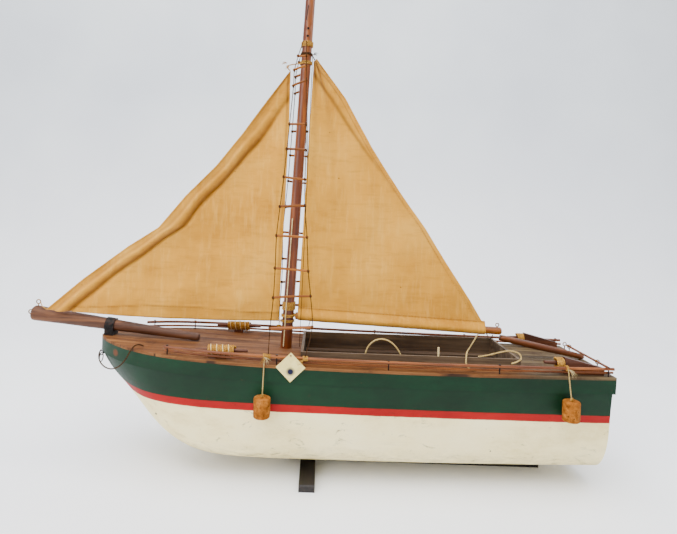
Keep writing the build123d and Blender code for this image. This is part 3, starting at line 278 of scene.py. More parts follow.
def canvas_finish(name, dark):
    made = Finish(name, 0.92, 0.12)
    cloud = made.noise(7.0, detail=5.0, roughness=0.6)
    slub = made.noise(150.0, (0.12, 1, 1), 4.0, 0.7)
    slub_up = made.noise(150.0, (1, 1, 0.12), 4.0, 0.7)
    base = made.ramp(cloud, (0.3, rgb(184, 143, 84)), (0.5, rgb(203, 163, 100)), (0.72, rgb(214, 177, 116)))
    base = made.mix(made.math("MULTIPLY", made.between(slub, 0.5, 0.7), 0.28), base, rgb(158, 118, 66))
    base = made.mix(made.math("MULTIPLY", made.between(slub_up, 0.5, 0.7), 0.28), base, rgb(226, 194, 138))
    spots = made.between(made.cells(55.0), 0.085, 0.05)
    rare = made.between(made.noise(19.0, detail=2.0), 0.60, 0.64)
    base = made.mix(made.math("MULTIPLY", spots, made.math("MULTIPLY", rare, 0.7)), base, rgb(112, 72, 36))
    tide = made.between(made.noise(4.0, detail=6.0), 0.56, 0.66)
    base = made.mix(made.math("MULTIPLY", tide, 0.25), base, rgb(160, 116, 64))
    # painted shade: the cloth is darkened towards deep brown where the per-point shade attribute marks
    # creases, hems and shaded edges
    fold_shade = made.math("MULTIPLY", made.attribute("fold_shade"), dark)
    made.paint(made.mix(fold_shade, base, rgb(112, 74, 34)))
    warp = made.math("SINE", made.math("MULTIPLY", made.x, TURN / WEAVE_PITCH))
    weft = made.math("SINE", made.math("MULTIPLY", made.z, TURN / WEAVE_PITCH))
    made.bump(made.math("ADD", made.math("MULTIPLY", warp, weft), slub), 0.00012, 0.5)
    made.bump(made.noise(60.0, detail=5.0), 0.0004, 0.4)
    made.shader.inputs["Sheen Weight"].default_value = 0.15
    return made


def fibre_finish(name, tones, roughness=0.9):
    made = Finish(name, roughness, 0.15)
    strands = made.noise(900.0, detail=3.0, roughness=0.7)
    cloud = made.noise(90.0, detail=4.0)
    base = made.ramp(strands, (0.3, tones[0]), (0.5, tones[1]), (0.7, tones[2]))
    made.paint(made.mix(made.math("MULTIPLY", made.between(cloud, 0.5, 0.7), 0.5), base, tones[0]))
    made.bump(strands, 0.0002, 0.8)
    return made


def laid_cord_finish(name, tones, twists):
    """Fibre with its lay drawn along a curve's own length."""
    made = fibre_finish(name, tones)
    uv = made.nodes.new("ShaderNodeSeparateXYZ")
    made.links.new(made.coordinates.outputs["UV"], uv.inputs[0])
    turns = made.math("ADD", made.math("MULTIPLY", uv.outputs[0], twists),
                      made.math("MULTIPLY", uv.outputs[1], 3.0))
    made.bump(made.math("SINE", made.math("MULTIPLY", turns, TURN)), 0.0005, 0.9)
    return made


def metal_finish(name, tones, roughness, rust):
    made = Finish(name, roughness, 0.5, 0.85)
    worn = made.noise(160.0, detail=6.0, roughness=0.7)
    base = made.ramp(worn, (0.35, tones[0]), (0.65, tones[1]))
    made.paint(made.mix(made.math("MULTIPLY", made.between(worn, 0.52, 0.66), rust), base, rgb(84, 48, 28)))
    made.bump(worn, 0.0002, 0.6)
    made.gloss(worn, roughness - 0.12, roughness + 0.2)
    return made


def cork_finish():
    made = Finish("cork", 0.9, 0.15)
    grain = made.noise(140.0, detail=6.0, roughness=0.7)
    cells = made.cells(190.0, (1, 1, 0.6))
    pits = made.between(cells, 0.20, 0.10)
    base = made.ramp(grain, (0.32, rgb(112, 76, 44)), (0.5, rgb(152, 108, 66)), (0.7, rgb(182, 138, 92)))
    made.paint(made.mix(made.math("MULTIPLY", pits, 0.85), base, rgb(62, 34, 16)))
    made.bump(grain, 0.0006, 0.8)
    made.bump(made.math("SUBTRACT", 1.0, pits), 0.0008, 0.7)
    return made


along_x, along_y, along_z = (0.05, 1, 1), (1, 0.05, 1), (1, 1, 0.05)
finishes = {
    "hull_green": hull_finish(),
    "deck_wood": deck_finish(),
    "coaming_paint": wood("coaming_wood", (rgb(62, 50, 42), rgb(104, 90, 76), rgb(138, 124, 106)), along_x),
    # dark wood and painted shade: the cockpit's sole, bulkheads and mast step are painted near black for the
    # shade inside the cockpit
    "cockpit_wood": wood("cockpit_wood", (rgb(14, 8, 6), rgb(34, 22, 16), rgb(52, 36, 26)), along_x, 50.0),
    "ledge_wood": wood("ledge_wood", (rgb(70, 56, 46), rgb(104, 90, 78), rgb(134, 122, 106)), along_x, 50.0),
    "mast_wood": wood("mast_wood", (rgb(70, 34, 12), rgb(116, 70, 34), rgb(160, 108, 60)),
                      along_z, 90.0, 0.38, 0.5),
    "boom_wood": wood("boom_wood", (rgb(92, 56, 28), rgb(142, 96, 52), rgb(178, 130, 78)),
                      along_x, 90.0, 0.5, 0.4),
    "spar_wood": wood("spar_wood", (rgb(56, 36, 24), rgb(98, 68, 48), rgb(132, 98, 72)),
                      along_x, 70.0, 0.6, 0.35, 0.0005),
    "rail_wood": wood("rail_wood", (rgb(66, 38, 22), rgb(118, 76, 46), rgb(160, 112, 72)),
                      along_x, 120.0, 0.5, 0.4),
    "rung_wood": wood("rung_wood", (rgb(96, 62, 34), rgb(142, 98, 58), rgb(180, 134, 86)),
                      along_x, 160.0, 0.7, 0.3, 0.0003),
    "block_wood": wood("block_wood", (rgb(50, 28, 16), rgb(96, 60, 34), rgb(134, 90, 54)),
                       along_x, 90.0, 0.5, 0.4),
    "stand_wood": wood("stand_wood", (rgb(22, 18, 16), rgb(48, 42, 40), rgb(72, 62, 56)),
                       along_x, 60.0, 0.55, 0.4),
    "foot_wood": wood("foot_wood", (rgb(26, 22, 20), rgb(52, 46, 45), rgb(78, 68, 62)),
                      along_y, 60.0, 0.55, 0.4),
    "rope_tan": fibre_finish("rope_tan", (rgb(112, 84, 46), rgb(176, 142, 92), rgb(214, 186, 138))),
    "rope_dark": fibre_finish("rope_dark", (rgb(34, 24, 18), rgb(78, 58, 42), rgb(118, 92, 66))),
    "rope_light": fibre_finish("rope_light", (rgb(152, 134, 100), rgb(206, 192, 160), rgb(232, 222, 198))),
    "cord_light": laid_cord_finish("cord_light", (rgb(150, 128, 88), rgb(204, 184, 142), rgb(230, 214, 178)),
                                   45.0),
    "cord_dark": laid_cord_finish("cord_dark", (rgb(40, 30, 24), rgb(84, 66, 50), rgb(122, 100, 76)), 45.0),
    "iron": metal_finish("iron", (rgb(30, 28, 28), rgb(74, 70, 68)), 0.5, 0.7),
    "brass_wire": metal_finish("brass_wire", (rgb(96, 70, 34), rgb(168, 134, 74)), 0.42, 0.4),
    "cork": cork_finish(),
    "sail_main": canvas_finish("sail_main", 0.75),
    "sail_jib": canvas_finish("sail_jib", 0.8),
    "thread": fibre_finish("thread", (rgb(120, 84, 44), rgb(156, 114, 64), rgb(184, 144, 90))),
}

LOOKS = {
    "hull_green": "hull_shell sheer_strake_port sheer_strake_starboard transom_board",
    "deck_wood": "deck_board",
    "coaming_paint": "cockpit_coaming",
    "ledge_wood": "ledge_port ledge_starboard",
    "cockpit_wood": "cockpit_sole bulkhead_fore bulkhead_aft mast_step",
    "mast_wood": "mast",
    "rail_wood": "rails_port rails_starboard stern_rail",
    "block_wood": "fore_cleats aft_cleats",
    "stand_wood": "keel_board",
    "foot_wood": "foot_bar",
    "iron": "mast_hook nails bowsprit_bracket stem_eye bow_ring",
    "brass_wire": "stand_screws bowsprit_eyes stern_eyes boom_eye tiller_screw",
    "rope_light": "coaming_peg",
}


def finish_node(name, finish):
    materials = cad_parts[name].data.materials
    materials.clear()
    materials.append(finish.material)


for look, names in LOOKS.items():
    for name in names.split():
        finish_node(name, finishes[look])


# ---- makers --------------------------------------------------------------------------------
def add_mesh(name, points, faces, look, body):
    mesh = bpy.data.meshes.new(name)
    mesh.from_pydata([tuple(p) for p in points], [], faces)
    mesh.validate()
    mesh.polygons.foreach_set("use_smooth", [True] * len(mesh.polygons))
    made = bpy.data.objects.new(name, mesh)
    bpy.context.scene.collection.objects.link(made)
    mesh.materials.append(finishes[look].material)
    if body:
        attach(made, body)
    return made


def smooth_line(points, step):
    """Evenly spaced points on a smooth curve through the given ones."""
    stops = [Vector(p) for p in points]
    padded = [2 * stops[0] - stops[1]] + stops + [2 * stops[-1] - stops[-2]]
    dense = []
    for a, b, c, d in zip(padded, padded[1:], padded[2:], padded[3:]):
        parts = max(2, math.ceil((c - b).length / step * 2))
        for i in range(parts):
            t = i / parts
            dense.append(0.5 * (2 * b + (c - a) * t + (2 * a - 5 * b + 4 * c - d) * t * t
                                + (3 * b - a - 3 * c + d) * t ** 3))
    dense.append(stops[-1])
    line, gone = [dense[0]], 0.0
    for before, after in zip(dense, dense[1:]):
        gone += (after - before).length
        if gone >= step:
            line.append(after)
            gone = 0.0
    line[-1] = dense[-1]
    return line


def tube(line, radius_at, sides):
    """Points and faces of a closed tube; radius_at takes the share along, angle and length gone."""
    points, faces = [], []
    tangent = (line[1] - line[0]).normalized()
    side = tangent.orthogonal().normalized()
    gone = 0.0
    for i, place in enumerate(line):
        ahead = line[min(i + 1, len(line) - 1)] - line[max(i - 1, 0)]
        ahead.normalize()
        side = (side - ahead * side.dot(ahead)).normalized()
        other = ahead.cross(side)
        if i:
            gone += (place - line[i - 1]).length
        for k in range(sides):
            angle = 2 * math.pi * k / sides
            reach = radius_at(i / (len(line) - 1), angle, gone)
            points.append(place + (side * math.cos(angle) + other * math.sin(angle)) * reach)
    for i in range(len(line) - 1):
        for k in range(sides):
            a, b = i * sides + k, i * sides + (k + 1) % sides
            faces.append((a, b, b + sides, a + sides))
    faces.append(tuple(reversed(range(sides))))
    faces.append(tuple(range((len(line) - 1) * sides, len(line) * sides)))
    return points, faces


def rope(name, points, radius, look, body, strands=3):
    """Laid rope: a lobed section that turns as it runs."""
    line = smooth_line(points, max(radius * 0.8, 0.0005))
    pitch = radius * 7

    def reach(share, angle, gone):
        return radius * (0.80 + 0.20 * abs(math.cos(strands / 2 * (angle - TURN * gone / pitch))))

    return add_mesh(name, *tube(line, reach, strands * 4), look, body)


def coil_points(start, end, reach, turns, uneven=0.0, first=0.0):
    start, end = Vector(start), Vector(end)
    axis = (end - start).normalized()
    side = axis.orthogonal().normalized()
    other = axis.cross(side)
    points = []
    for i in range(turns * 16 + 1):
        angle = first + 2 * math.pi * i / 16
        out = reach * (1 + random.uniform(-uneven, uneven))
        along = (end - start) * (i / (turns * 16))
        points.append(start + along + (side * math.cos(angle) + other * math.sin(angle)) * out)
    return points


def coil(name, start, end, core, radius, turns, look, body, uneven=0.012):
    return rope(name, coil_points(start, end, core + radius, turns, uneven), radius, look, body)


FIBRE_RADIUS = 0.00022


def whiskers(name, at, lean, count, length, look, body):
    """A frayed end: thin fibres that spread as they leave the rope."""
    points, faces = [], []
    for _ in range(count):
        stray = Vector([random.uniform(-0.5, 0.5) for _ in range(3)])
        way = (Vector(lean).normalized() + stray).normalized()
        long = length * random.uniform(0.5, 1.0)
        droop = Vector((0, 0, -long * random.uniform(0.1, 0.5)))
        stops = [Vector(at), Vector(at) + way * long * 0.5, Vector(at) + way * long + droop]
        fresh, shape = tube(smooth_line(stops, long / 6), lambda s, a, g: FIBRE_RADIUS * (1 - 0.6 * s), 5)
        faces += [tuple(v + len(points) for v in f) for f in shape]
        points += fresh
    return add_mesh(name, points, faces, look, body)


def stick(name, start, end, first_radius, last_radius, look, body,
          rough=0.04, step=0.002, sides=24, bend=0.0):
    """Hand-cut round timber: slightly bent, uneven, with rounded ends."""
    start, end = Vector(start), Vector(end)
    long = (end - start).length
    count = max(8, int(long / step))
    seed = Vector([random.uniform(0, 50) for _ in range(3)])
    line = []
    for i in range(count + 1):
        share = i / count
        sway = math.sin(math.pi * share) * bend
        line.append(start.lerp(end, share) + Vector((0, 0, sway)))

    def reach(share, angle, gone):
        radius = first_radius + (last_radius - first_radius) * share
        near = min(gone, long - gone) / (radius * 0.35)
        if near < 1:
            radius *= 0.80 + 0.20 * math.sqrt(max(0.0, 1 - (1 - near) ** 2))
        flats = Vector((math.cos(angle) * 1.3, math.sin(angle) * 1.3, gone * 14)) + seed
        fine = Vector((math.cos(angle) * 4, math.sin(angle) * 4, gone * 120)) + seed
        return radius * (1 + rough * noise.noise(flats) + rough * 0.35 * noise.noise(fine))

    return add_mesh(name, *tube(line, reach, sides), look, body)


def free_cord(name, points, radius, look, body):
    """A loose cord as a NURBS curve over its control points."""
    data = bpy.data.curves.new(name, "CURVE")
    data.dimensions = "3D"
    data.bevel_depth = radius
    data.bevel_resolution = 4
    data.resolution_u = 12
    data.use_fill_caps = True
    spline = data.splines.new("NURBS")
    spline.points.add(len(points) - 1)
    for target, place in zip(spline.points, points):
        target.co = (place[0] * MM, place[1] * MM, place[2] * MM, 1)
    spline.order_u = 3
    spline.use_endpoint_u = True
    made = bpy.data.objects.new(name, data)
    bpy.context.scene.collection.objects.link(made)
    data.materials.append(finishes[look].material)
    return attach(made, body)


def mm(*values):
    return Vector(values) * MM


def along(stops, share):
    """Point at that share of a polyline's length."""
    stops = [Vector(p) for p in stops]
    runs = [(b - a).length for a, b in zip(stops, stops[1:])]
    left = share * sum(runs)
    for a, b, run in zip(stops, stops[1:], runs):
        if left <= run:
            return a.lerp(b, left / run)
        left -= run
    return stops[-1]


def step_up(low, high, value):
    share = min(1.0, max(0.0, (value - low) / (high - low)))
    return share * share * (3 - 2 * share)


def ridge(value, middle, width):
    return math.exp(-((value - middle) / width) ** 2)


# ---- lie of the hull and mast, as built ------------------------------------------------------
def sheer(x):
    return 172 + 16.6 * ((439 - x) / 773) ** 3


def half_beam(x):
    return 7 + 90 * (1 - min(1, x / -334) ** 4) ** 0.83 if x < 0 else 97 - 11.5 * (x / 450) ** 2


def rail_y(x):
    return half_beam(x) - 4.4


RAKE = math.tan(math.radians(2.05))


def mast_x(z):
    return -42 + (z - 171) * RAKE


def mast_radius(z):
    return 9.3 - 1.7 * (z - 44) / 736


# ---- spars -----------------------------------------------------------------------------------
sprit = stick("bowsprit_log", mm(-448.5, 0, 217.9), mm(-181, 0, 187), 0.0121, 0.0057,
              "spar_wood", "hull", 0.05)
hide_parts("bowsprit")
boom = stick("boom_spar", mm(-28.8, 0, 227.4), mm(302, 0, 214), 0.0058, 0.0059,
             "boom_wood", "boom_rig", 0.04)
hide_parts("boom")

TILLER_LONG = 0.1385
TILLER_ROUNDING = 0.0025
DECK_CLEAR_Z = 0.17245
tiller_line = smooth_line([mm(436, 0, 176.6), mm(400, 0, 184.4), mm(362, 0, 191.4), mm(305, 0, 202.8),
                           mm(300.6, 0, 203.7)], 0.002)


def tiller_reach(share, angle, gone):
    radius = 0.0040 + 0.0016 * math.sin(math.pi * min(1, share * 1.1) * 0.8)
    end = min(gone, TILLER_LONG - gone)
    if end < TILLER_ROUNDING:
        radius *= 0.62 + 0.38 * math.sqrt(max(0.0, 1 - (1 - end / TILLER_ROUNDING) ** 2))
    return radius * (1 + 0.05 * noise.noise(Vector((math.cos(angle), math.sin(angle), gone * 30))))


tiller = add_mesh("tiller_bar", *tube(tiller_line, tiller_reach, 24), "block_wood", "tiller_arm")
for vertex in tiller.data.vertices:
    vertex.co.z = max(vertex.co.z, DECK_CLEAR_Z)
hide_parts("tiller")

# ---- rope ladders ------------------------------------------------------------------------------
RUNGS = ((639, 640, 14.5, 3.0), (615, 624, 18.5, 4.0), (589, 600, 18.0, 6.0), (528, 529, 19.0, 10.5),
         (489, 488, 20.0, 13.5), (446, 443, 21.0, 15.5), (401, 404, 23.0, 18.5), (358, 357, 24.5, 25.0),
         (311, 308, 22.5, 30.5), (269, 273, 21.5, 36.5), (226, 230, 22.5, 42.0))
LADDER_TOP_Z = 662
LADDER_FOOT_X = -35
LADDER_TOP_Y = mast_radius(LADDER_TOP_Z) + 2.55
RAIL_TOP_Z = sheer(LADDER_FOOT_X) + 13.1
LAST_RUNG = len(RUNGS) - 1


def ladder_y(z):
    spread = rail_y(LADDER_FOOT_X) - LADDER_TOP_Y
    return LADDER_TOP_Y + spread * (LADDER_TOP_Z - z) / (LADDER_TOP_Z - RAIL_TOP_Z)


for side, name in ((-1, "port"), (1, "starboard")):
    fore = [(mast_x(LADDER_TOP_Z) - 6, LADDER_TOP_Y, LADDER_TOP_Z + 3)]
    aft = [(mast_x(LADDER_TOP_Z) - 1, LADDER_TOP_Y, LADDER_TOP_Z + 3)]
    for number, (fore_z, aft_z, fore_reach, aft_reach) in enumerate(RUNGS):
        fore_x, aft_x = mast_x(fore_z) - fore_reach, mast_x(aft_z) + aft_reach
        fore.append((fore_x + 2.2, ladder_y(fore_z), fore_z))
        aft.append((aft_x - 2.2, ladder_y(aft_z), aft_z))
        thick = 0.0023 if number == LAST_RUNG else 0.0018
        rung = stick(f"rung_{name}_{number}", mm(fore_x, side * (ladder_y(fore_z) + 2.5), fore_z),
                     mm(aft_x, side * (ladder_y(aft_z) + 2.5), aft_z), thick, thick * 0.92,
                     "boom_wood" if number == LAST_RUNG else "rung_wood", "hull", 0.14, 0.0012, 14,
                     random.uniform(-0.0008, 0.0008))
        if number == 0:
            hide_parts(f"ladder_rungs_{name}")
        for end_x, end_z in ((fore_x + 2.2, fore_z), (aft_x - 2.2, aft_z)):
            middle_y = side * (ladder_y(end_z) + 1.4)
            knot = coil(f"knot_{name}_{number}_{'fore' if end_x < mast_x(end_z) else 'aft'}",
                        mm(end_x - 1.3, middle_y + side, end_z), mm(end_x + 1.3, middle_y + side, end_z),
                        0.0019, 0.00035, 3, "rope_dark", "hull", 0.05)
    for x, route, which in ((-61, fore, "fore"), (-8, aft, "aft")):
        route.append((x, rail_y(x) + 1.2, sheer(x) + 14.0))
        shroud = rope(f"shroud_{name}_{which}", [mm(a, side * b, c) for a, b, c in route], 0.00068,
                      "rope_dark", "hull")
        if which == "fore":
            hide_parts(f"ladder_ropes_{name}")
        rail_at = Vector((x, side * rail_y(x), sheer(x) + 11))
        seizing = coil(f"seizing_{name}_{which}", (rail_at + Vector((-3.4, 0, 0))) * MM,
                       (rail_at + Vector((3.4, 0, 0))) * MM, 0.0022, 0.0007, 6, "rope_tan", "hull", 0.05)
        ends = whiskers(f"frayed_{name}_{which}", (rail_at + Vector((-3, side * 2.5, -2))) * MM,
                        (-0.6, side * 0.7, -0.3), 16, 0.011, "rope_tan", "hull")


# ---- lashings and rope wraps --------------------------------------------------------------------
def mast_coil(name, z, tall, core_gap, radius, turns, look, body):
    low, high = mm(mast_x(z - tall / 2), 0, z - tall / 2), mm(mast_x(z + tall / 2), 0, z + tall / 2)
    return coil(name, low, high, (mast_radius(z) + core_gap) * MM, radius * MM, turns, look, body)


top_wrap = mast_coil("ladder_top_wrap", 662, 8.0, 0.1, 0.95, 5, "rope_tan", "hull")
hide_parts("ladder_lashing")
foot_wrap = mast_coil("mast_foot_wrap", 243, 12.6, 0.1, 0.9, 7, "rope_tan", "hull")
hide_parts("mast_foot_lashing")
head_wrap = mast_coil("jib_head_wrap", 632, 5.0, 0.1, 1.15, 2, "rope_tan", "hull")
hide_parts("jib_ties")
clew_wrap = mast_coil("jib_clew_wrap", 219, 4.0, 0.1, 0.9, 2, "rope_tan", "hull")
head_tie = mast_coil("main_head_wrap", 646, 3.8, 0.35, 0.9, 2, "rope_dark", "boom_rig")
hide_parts("main_head_tie")
strop = mast_coil("boom_strop_wrap", 227.5, 4.8, 0.4, 1.1, 2, "rope_tan", "boom_rig")
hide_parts("boom_strop")
ties = (
    ("jib_head_tie", (mast_x(632) - 9.4, -1, 632), (-55, -1.2, 627), (-50.5, -0.4, 619.5),
     0.95, "rope_tan", "hull"),
    ("jib_clew_tie", (mast_x(219) - 9.6, -1, 219), (-52.5, -3.4, 220.4), (-56, -3.6, 219.6),
     0.8, "rope_tan", "hull"),
    ("jib_tack_tie", (-437.6, -0.8, 235.2), (-431, -6.5, 229.4), (-421, -13.6, 227.2),
     0.7, "rope_tan", "hull"),
    ("main_head_lead", (mast_x(646) + 9.2, 0, 646), (-14.6, -0.8, 643.4), (-11.4, 0, 638.2),
     0.85, "rope_dark", "boom_rig"),
    ("boom_strop_lead", (mast_x(227.5) + 10.6, 0, 227.5), (-28, 0.2, 228.4), (-23.5, 0, 227.4),
     1.1, "rope_tan", "boom_rig"),
)
for name, a, b, c, radius, look, body in ties:
    rope(name, [mm(*a), mm(*b), mm(*c)], radius * MM, look, body)
for name, at, lean, look, body in (
    ("jib_head_fray", (-55.5, -5, 630), (-1, -0.8, 0.3), "rope_tan", "hull"),
    ("jib_head_fray_low", (-52, -4, 625), (-0.6, -1, -0.4), "rope_tan", "hull"),
    ("clew_fray", (-49, -9, 221), (-0.5, -1, 0.2), "rope_tan", "hull"),
    ("main_head_fray", (-14, -4, 645), (1, -0.6, 0.4), "rope_dark", "boom_rig"),
    ("strop_fray", (-30, -7, 231), (0.4, -1, 0.2), "rope_tan", "boom_rig"),
):
    whiskers(name, mm(*at), lean, 18, 0.010, look, body)

for side, name in ((-1, "port"), (1, "starboard")):
    y, z = side * (half_beam(-130) - 17), sheer(-130) + 11.5
    wrap = coil(f"fore_cleat_wrap_{name}", mm(-149, y, z), mm(-111, y, z), 0.0052, 0.00125, 15,
                "rope_tan", "hull", 0.05)
    cross = coil(f"fore_cleat_cross_{name}", mm(-147, y, z), mm(-113, y, z), 0.0066, 0.0008, 4,
                 "rope_light", "hull", 0.05)
    stub = coil(f"aft_cleat_wrap_{name}", mm(357, side * 72.5, 187), mm(368, side * 72.5, 187),
                0.0058, 0.00125, 5, "rope_tan", "hull", 0.05)
    if side < 0:
        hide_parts("fore_cleat_ropes")
        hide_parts("aft_cleat_ropes")

light_route = [mm(mast_x(z) - 3.4, y, z) for y, z in ((-10.2, 383), (-12.4, 280), (-14.6, 181))]
halyard_light = rope("halyard_light_rope", light_route, 0.00088, "rope_light", "hull")
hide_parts("halyard_light")
dark_route = [mm(-15, -8.5, 644), mm(-17.2, -9.4, 400), mm(-19.8, -9.5, 180)]
halyard_dark = rope("halyard_dark_rope", dark_route, 0.0005, "rope_dark", "hull")
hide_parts("halyard_dark")

# ---- free cords: the same points as the CAD routes ------------------------------------------------
BOW_ROPE = ((-337.5, -1.6, 162.2), (-337.0, -11.0, 160.5), (-330.0, -26.0, 153.0), (-315.0, -43.0, 148.5),
            (-297.0, -58.0, 149.5), (-281.0, -69.5, 158.0), (-269.5, -76.0, 170.5), (-263.0, -77.5, 183.5),
            (-258.0, -72.5, 191.5), (-253.5, -63.5, 190.0), (-251.5, -56.5, 186.0))
MAINSHEET = ((289.5, 0.6, 207.0), (291.5, 10.0, 202.5), (295.0, 27.0, 195.0), (299.5, 47.0, 189.5),
             (304.0, 66.0, 189.0), (307.0, 79.0, 190.0), (308.5, 86.5, 188.0))
CORD_FORE = ((78.0, -54.5, 162.2), (79.0, -55.5, 178.0), (82.5, -56.5, 196.0), (94.0, -57.5, 208.0),
             (110.0, -57.5, 209.5), (124.0, -57.0, 200.5), (133.5, -56.0, 186.5), (138.5, -54.5, 173.5),
             (140.0, -53.5, 162.2))
CORD_MIDDLE = ((296.0, 85.0, 188.5), (291.0, 74.0, 192.5), (283.0, 58.0, 192.5), (271.0, 36.0, 188.0),
               (257.0, 10.0, 184.5), (245.0, -16.0, 184.5), (237.0, -40.0, 189.5), (231.0, -59.0, 194.5),
               (226.5, -71.5, 190.0), (224.5, -77.5, 181.5), (228.5, -80.0, 175.0), (238.0, -79.5, 173.8))
CORD_AFT = ((247.0, -62.0, 188.9), (258.0, -62.3, 190.5), (275.0, -63.5, 196.0), (291.0, -65.5, 200.5),
            (303.0, -70.0, 199.5), (305.5, -77.5, 194.5), (299.0, -84.0, 189.8), (287.0, -86.8, 187.6))
for name, points, radius, long, end, look, node in (
    ("bow_rope_cord", BOW_ROPE, 0.001, 0.1555, "object", "cord_dark", "bow_rope"),
    ("cockpit_loop_fore", CORD_FORE, 0.0011, 0.1241, "bare", "cord_light", "cockpit_cord_fore"),
    ("cockpit_loop_middle", CORD_MIDDLE, 0.0011, 0.2012, "bare", "cord_light", "cockpit_cord_middle"),
    ("cockpit_loop_aft", CORD_AFT, 0.0011, 0.0890, "object", "cord_light", "cockpit_cord_aft"),
):
    made = free_cord(name, points, radius, look, "hull")
    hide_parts(node)

sheet_line = [mm(*p) for p in MAINSHEET]
sheet_rope = rope("mainsheet_rope", sheet_line, 0.0008, "rope_dark", None)
smooth_line(sheet_line, 0.0008)
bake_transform(sheet_rope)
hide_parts("mainsheet")

# ---- fenders and tag --------------------------------------------------------------------------
CORK_LONG = 0.0277
CORK_HALF = 13.85
LOOP_REACH = 3.25
for name, x, middle in (("fore", -66.0, 121.0), ("aft", 368.0, 127.7)):
    cork_y = -(half_beam(x) * 0.985 + 12.2)
    seed = Vector((x, 3, 7))

    def cork_reach(share, angle, gone, seed=seed):
        edge = min(gone, CORK_LONG - gone)
        radius = 0.0117 - (0.0011 * (1 - edge / 0.0016) ** 2 if edge < 0.0016 else 0)
        rough = noise.noise(Vector((math.cos(angle) * 3, math.sin(angle) * 3, gone * 260)) + seed)
        return radius * (1 + 0.018 * rough)

    bottom, top = mm(x, cork_y, middle - CORK_HALF), mm(x, cork_y, middle + CORK_HALF)
    stops = [bottom.lerp(top, i / 40) for i in range(41)]
    cork = add_mesh(f"cork_{name}", *tube(stops, cork_reach, 64), "cork", f"fender_{name}")
    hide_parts(f"fender_cork_{name}")
    rail_at = Vector((x, -rail_y(x), sheer(x) + 11))
    turns = coil_points(mm(x - 2.0, rail_at.y, rail_at.z), mm(x + 2.0, rail_at.y, rail_at.z), 0.00325, 2)
    loop = rope(f"fender_loop_{name}", turns, 0.0009, "rope_tan", f"fender_{name}")
    drop = [(x, rail_at.y - LOOP_REACH, rail_at.z),
            (x, (rail_at.y - LOOP_REACH + cork_y) / 2, (rail_at.z + middle + CORK_HALF) / 2),
            (x, cork_y, middle + 13.8)]
    long = (Vector(drop[0]) - Vector(drop[2])).length * MM
    hanging = free_cord(f"fender_line_{name}", drop, 0.00085, "cord_light", f"fender_{name}")
    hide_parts(f"fender_rope_{name}")
    fray = whiskers(f"fender_fray_{name}", mm(x + 1, rail_at.y - 4, rail_at.z - 1), (0.8, -0.7, -0.5),
                    14, 0.012, "rope_light", f"fender_{name}")
    knot = coil(f"fender_knot_{name}", mm(x, cork_y, middle + 14.3), mm(x, cork_y, middle + 17.5),
                0.0009, 0.0008, 3, "rope_tan", f"fender_{name}")

card = Finish("tag_card", 0.6, 0.3)
blotch = card.noise(60.0, detail=5.0)
card_base = card.ramp(blotch, (0.3, rgb(214, 198, 142)), (0.6, rgb(236, 224, 176)))
card.paint(card.mix(card.spot(-0.0284, 0.16885, 0.0072), card_base, rgb(6, 16, 62)))
card.bump(card.noise(500.0), 0.0001, 0.5)
finish_node("tag_board", card)
finish_node("tag_string", finishes["rope_light"])


# ---- sails --------------------------------------------------------------------------------------
CLOTH_THICK = 0.0005
THREAD_RADIUS = 0.0002
STITCH_LONG = 0.0021


def sail(name, rows, columns, place, look, body):
    """A grid of cloth with its thickness; place gives a point and how much painted shade it carries in folds
    and along hems.
    """
    points, folds, faces = [], [], []
    for i in range(rows + 1):
        for j in range(columns + 1):
            point, fold_shade = place(i / rows, j / columns)
            points.append(point * MM)
            folds.append(min(1.0, max(0.0, fold_shade)))
    for i in range(rows):
        for j in range(columns):
            a = i * (columns + 1) + j
            faces.append((a, a + 1, a + columns + 2, a + columns + 1))
    made = add_mesh(name, points, faces, look, None)
    # painted shade per point, read by the canvas finish
    made.data.attributes.new("fold_shade", "FLOAT", "POINT").data.foreach_set("value", folds)
    thick = made.modifiers.new("thickness", "SOLIDIFY")
    thick.thickness = CLOTH_THICK
    thick.offset = 0
    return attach(made, body)


def stitches(name, points, body):
    """A row of separate hand stitches along a seam."""
    verts, faces = [], []
    line = smooth_line(points, 0.0035)
    for a, b in zip(line, line[1:]):
        way = (b - a).normalized() * STITCH_LONG
        stops = [a, a + way * 0.5 + Vector((0, -0.0001, 0)), a + way]
        fresh, shape = tube(stops, lambda s, t, g: THREAD_RADIUS, 6)
        faces += [tuple(v + len(verts) for v in f) for f in shape]
        verts += fresh
    return add_mesh(name, verts, faces, "thread", body)


MAIN_LEECH = ((276, 0, 221.4), (250, 0, 262), (216, 0, 312), (176, 0, 373), (131, 0, 433), (84, 0, 502),
              (40, 0, 578), (-8.5, 0, 640))


def boom_line(x):
    return 227.5 - 13.5 * (x + 29) / 331


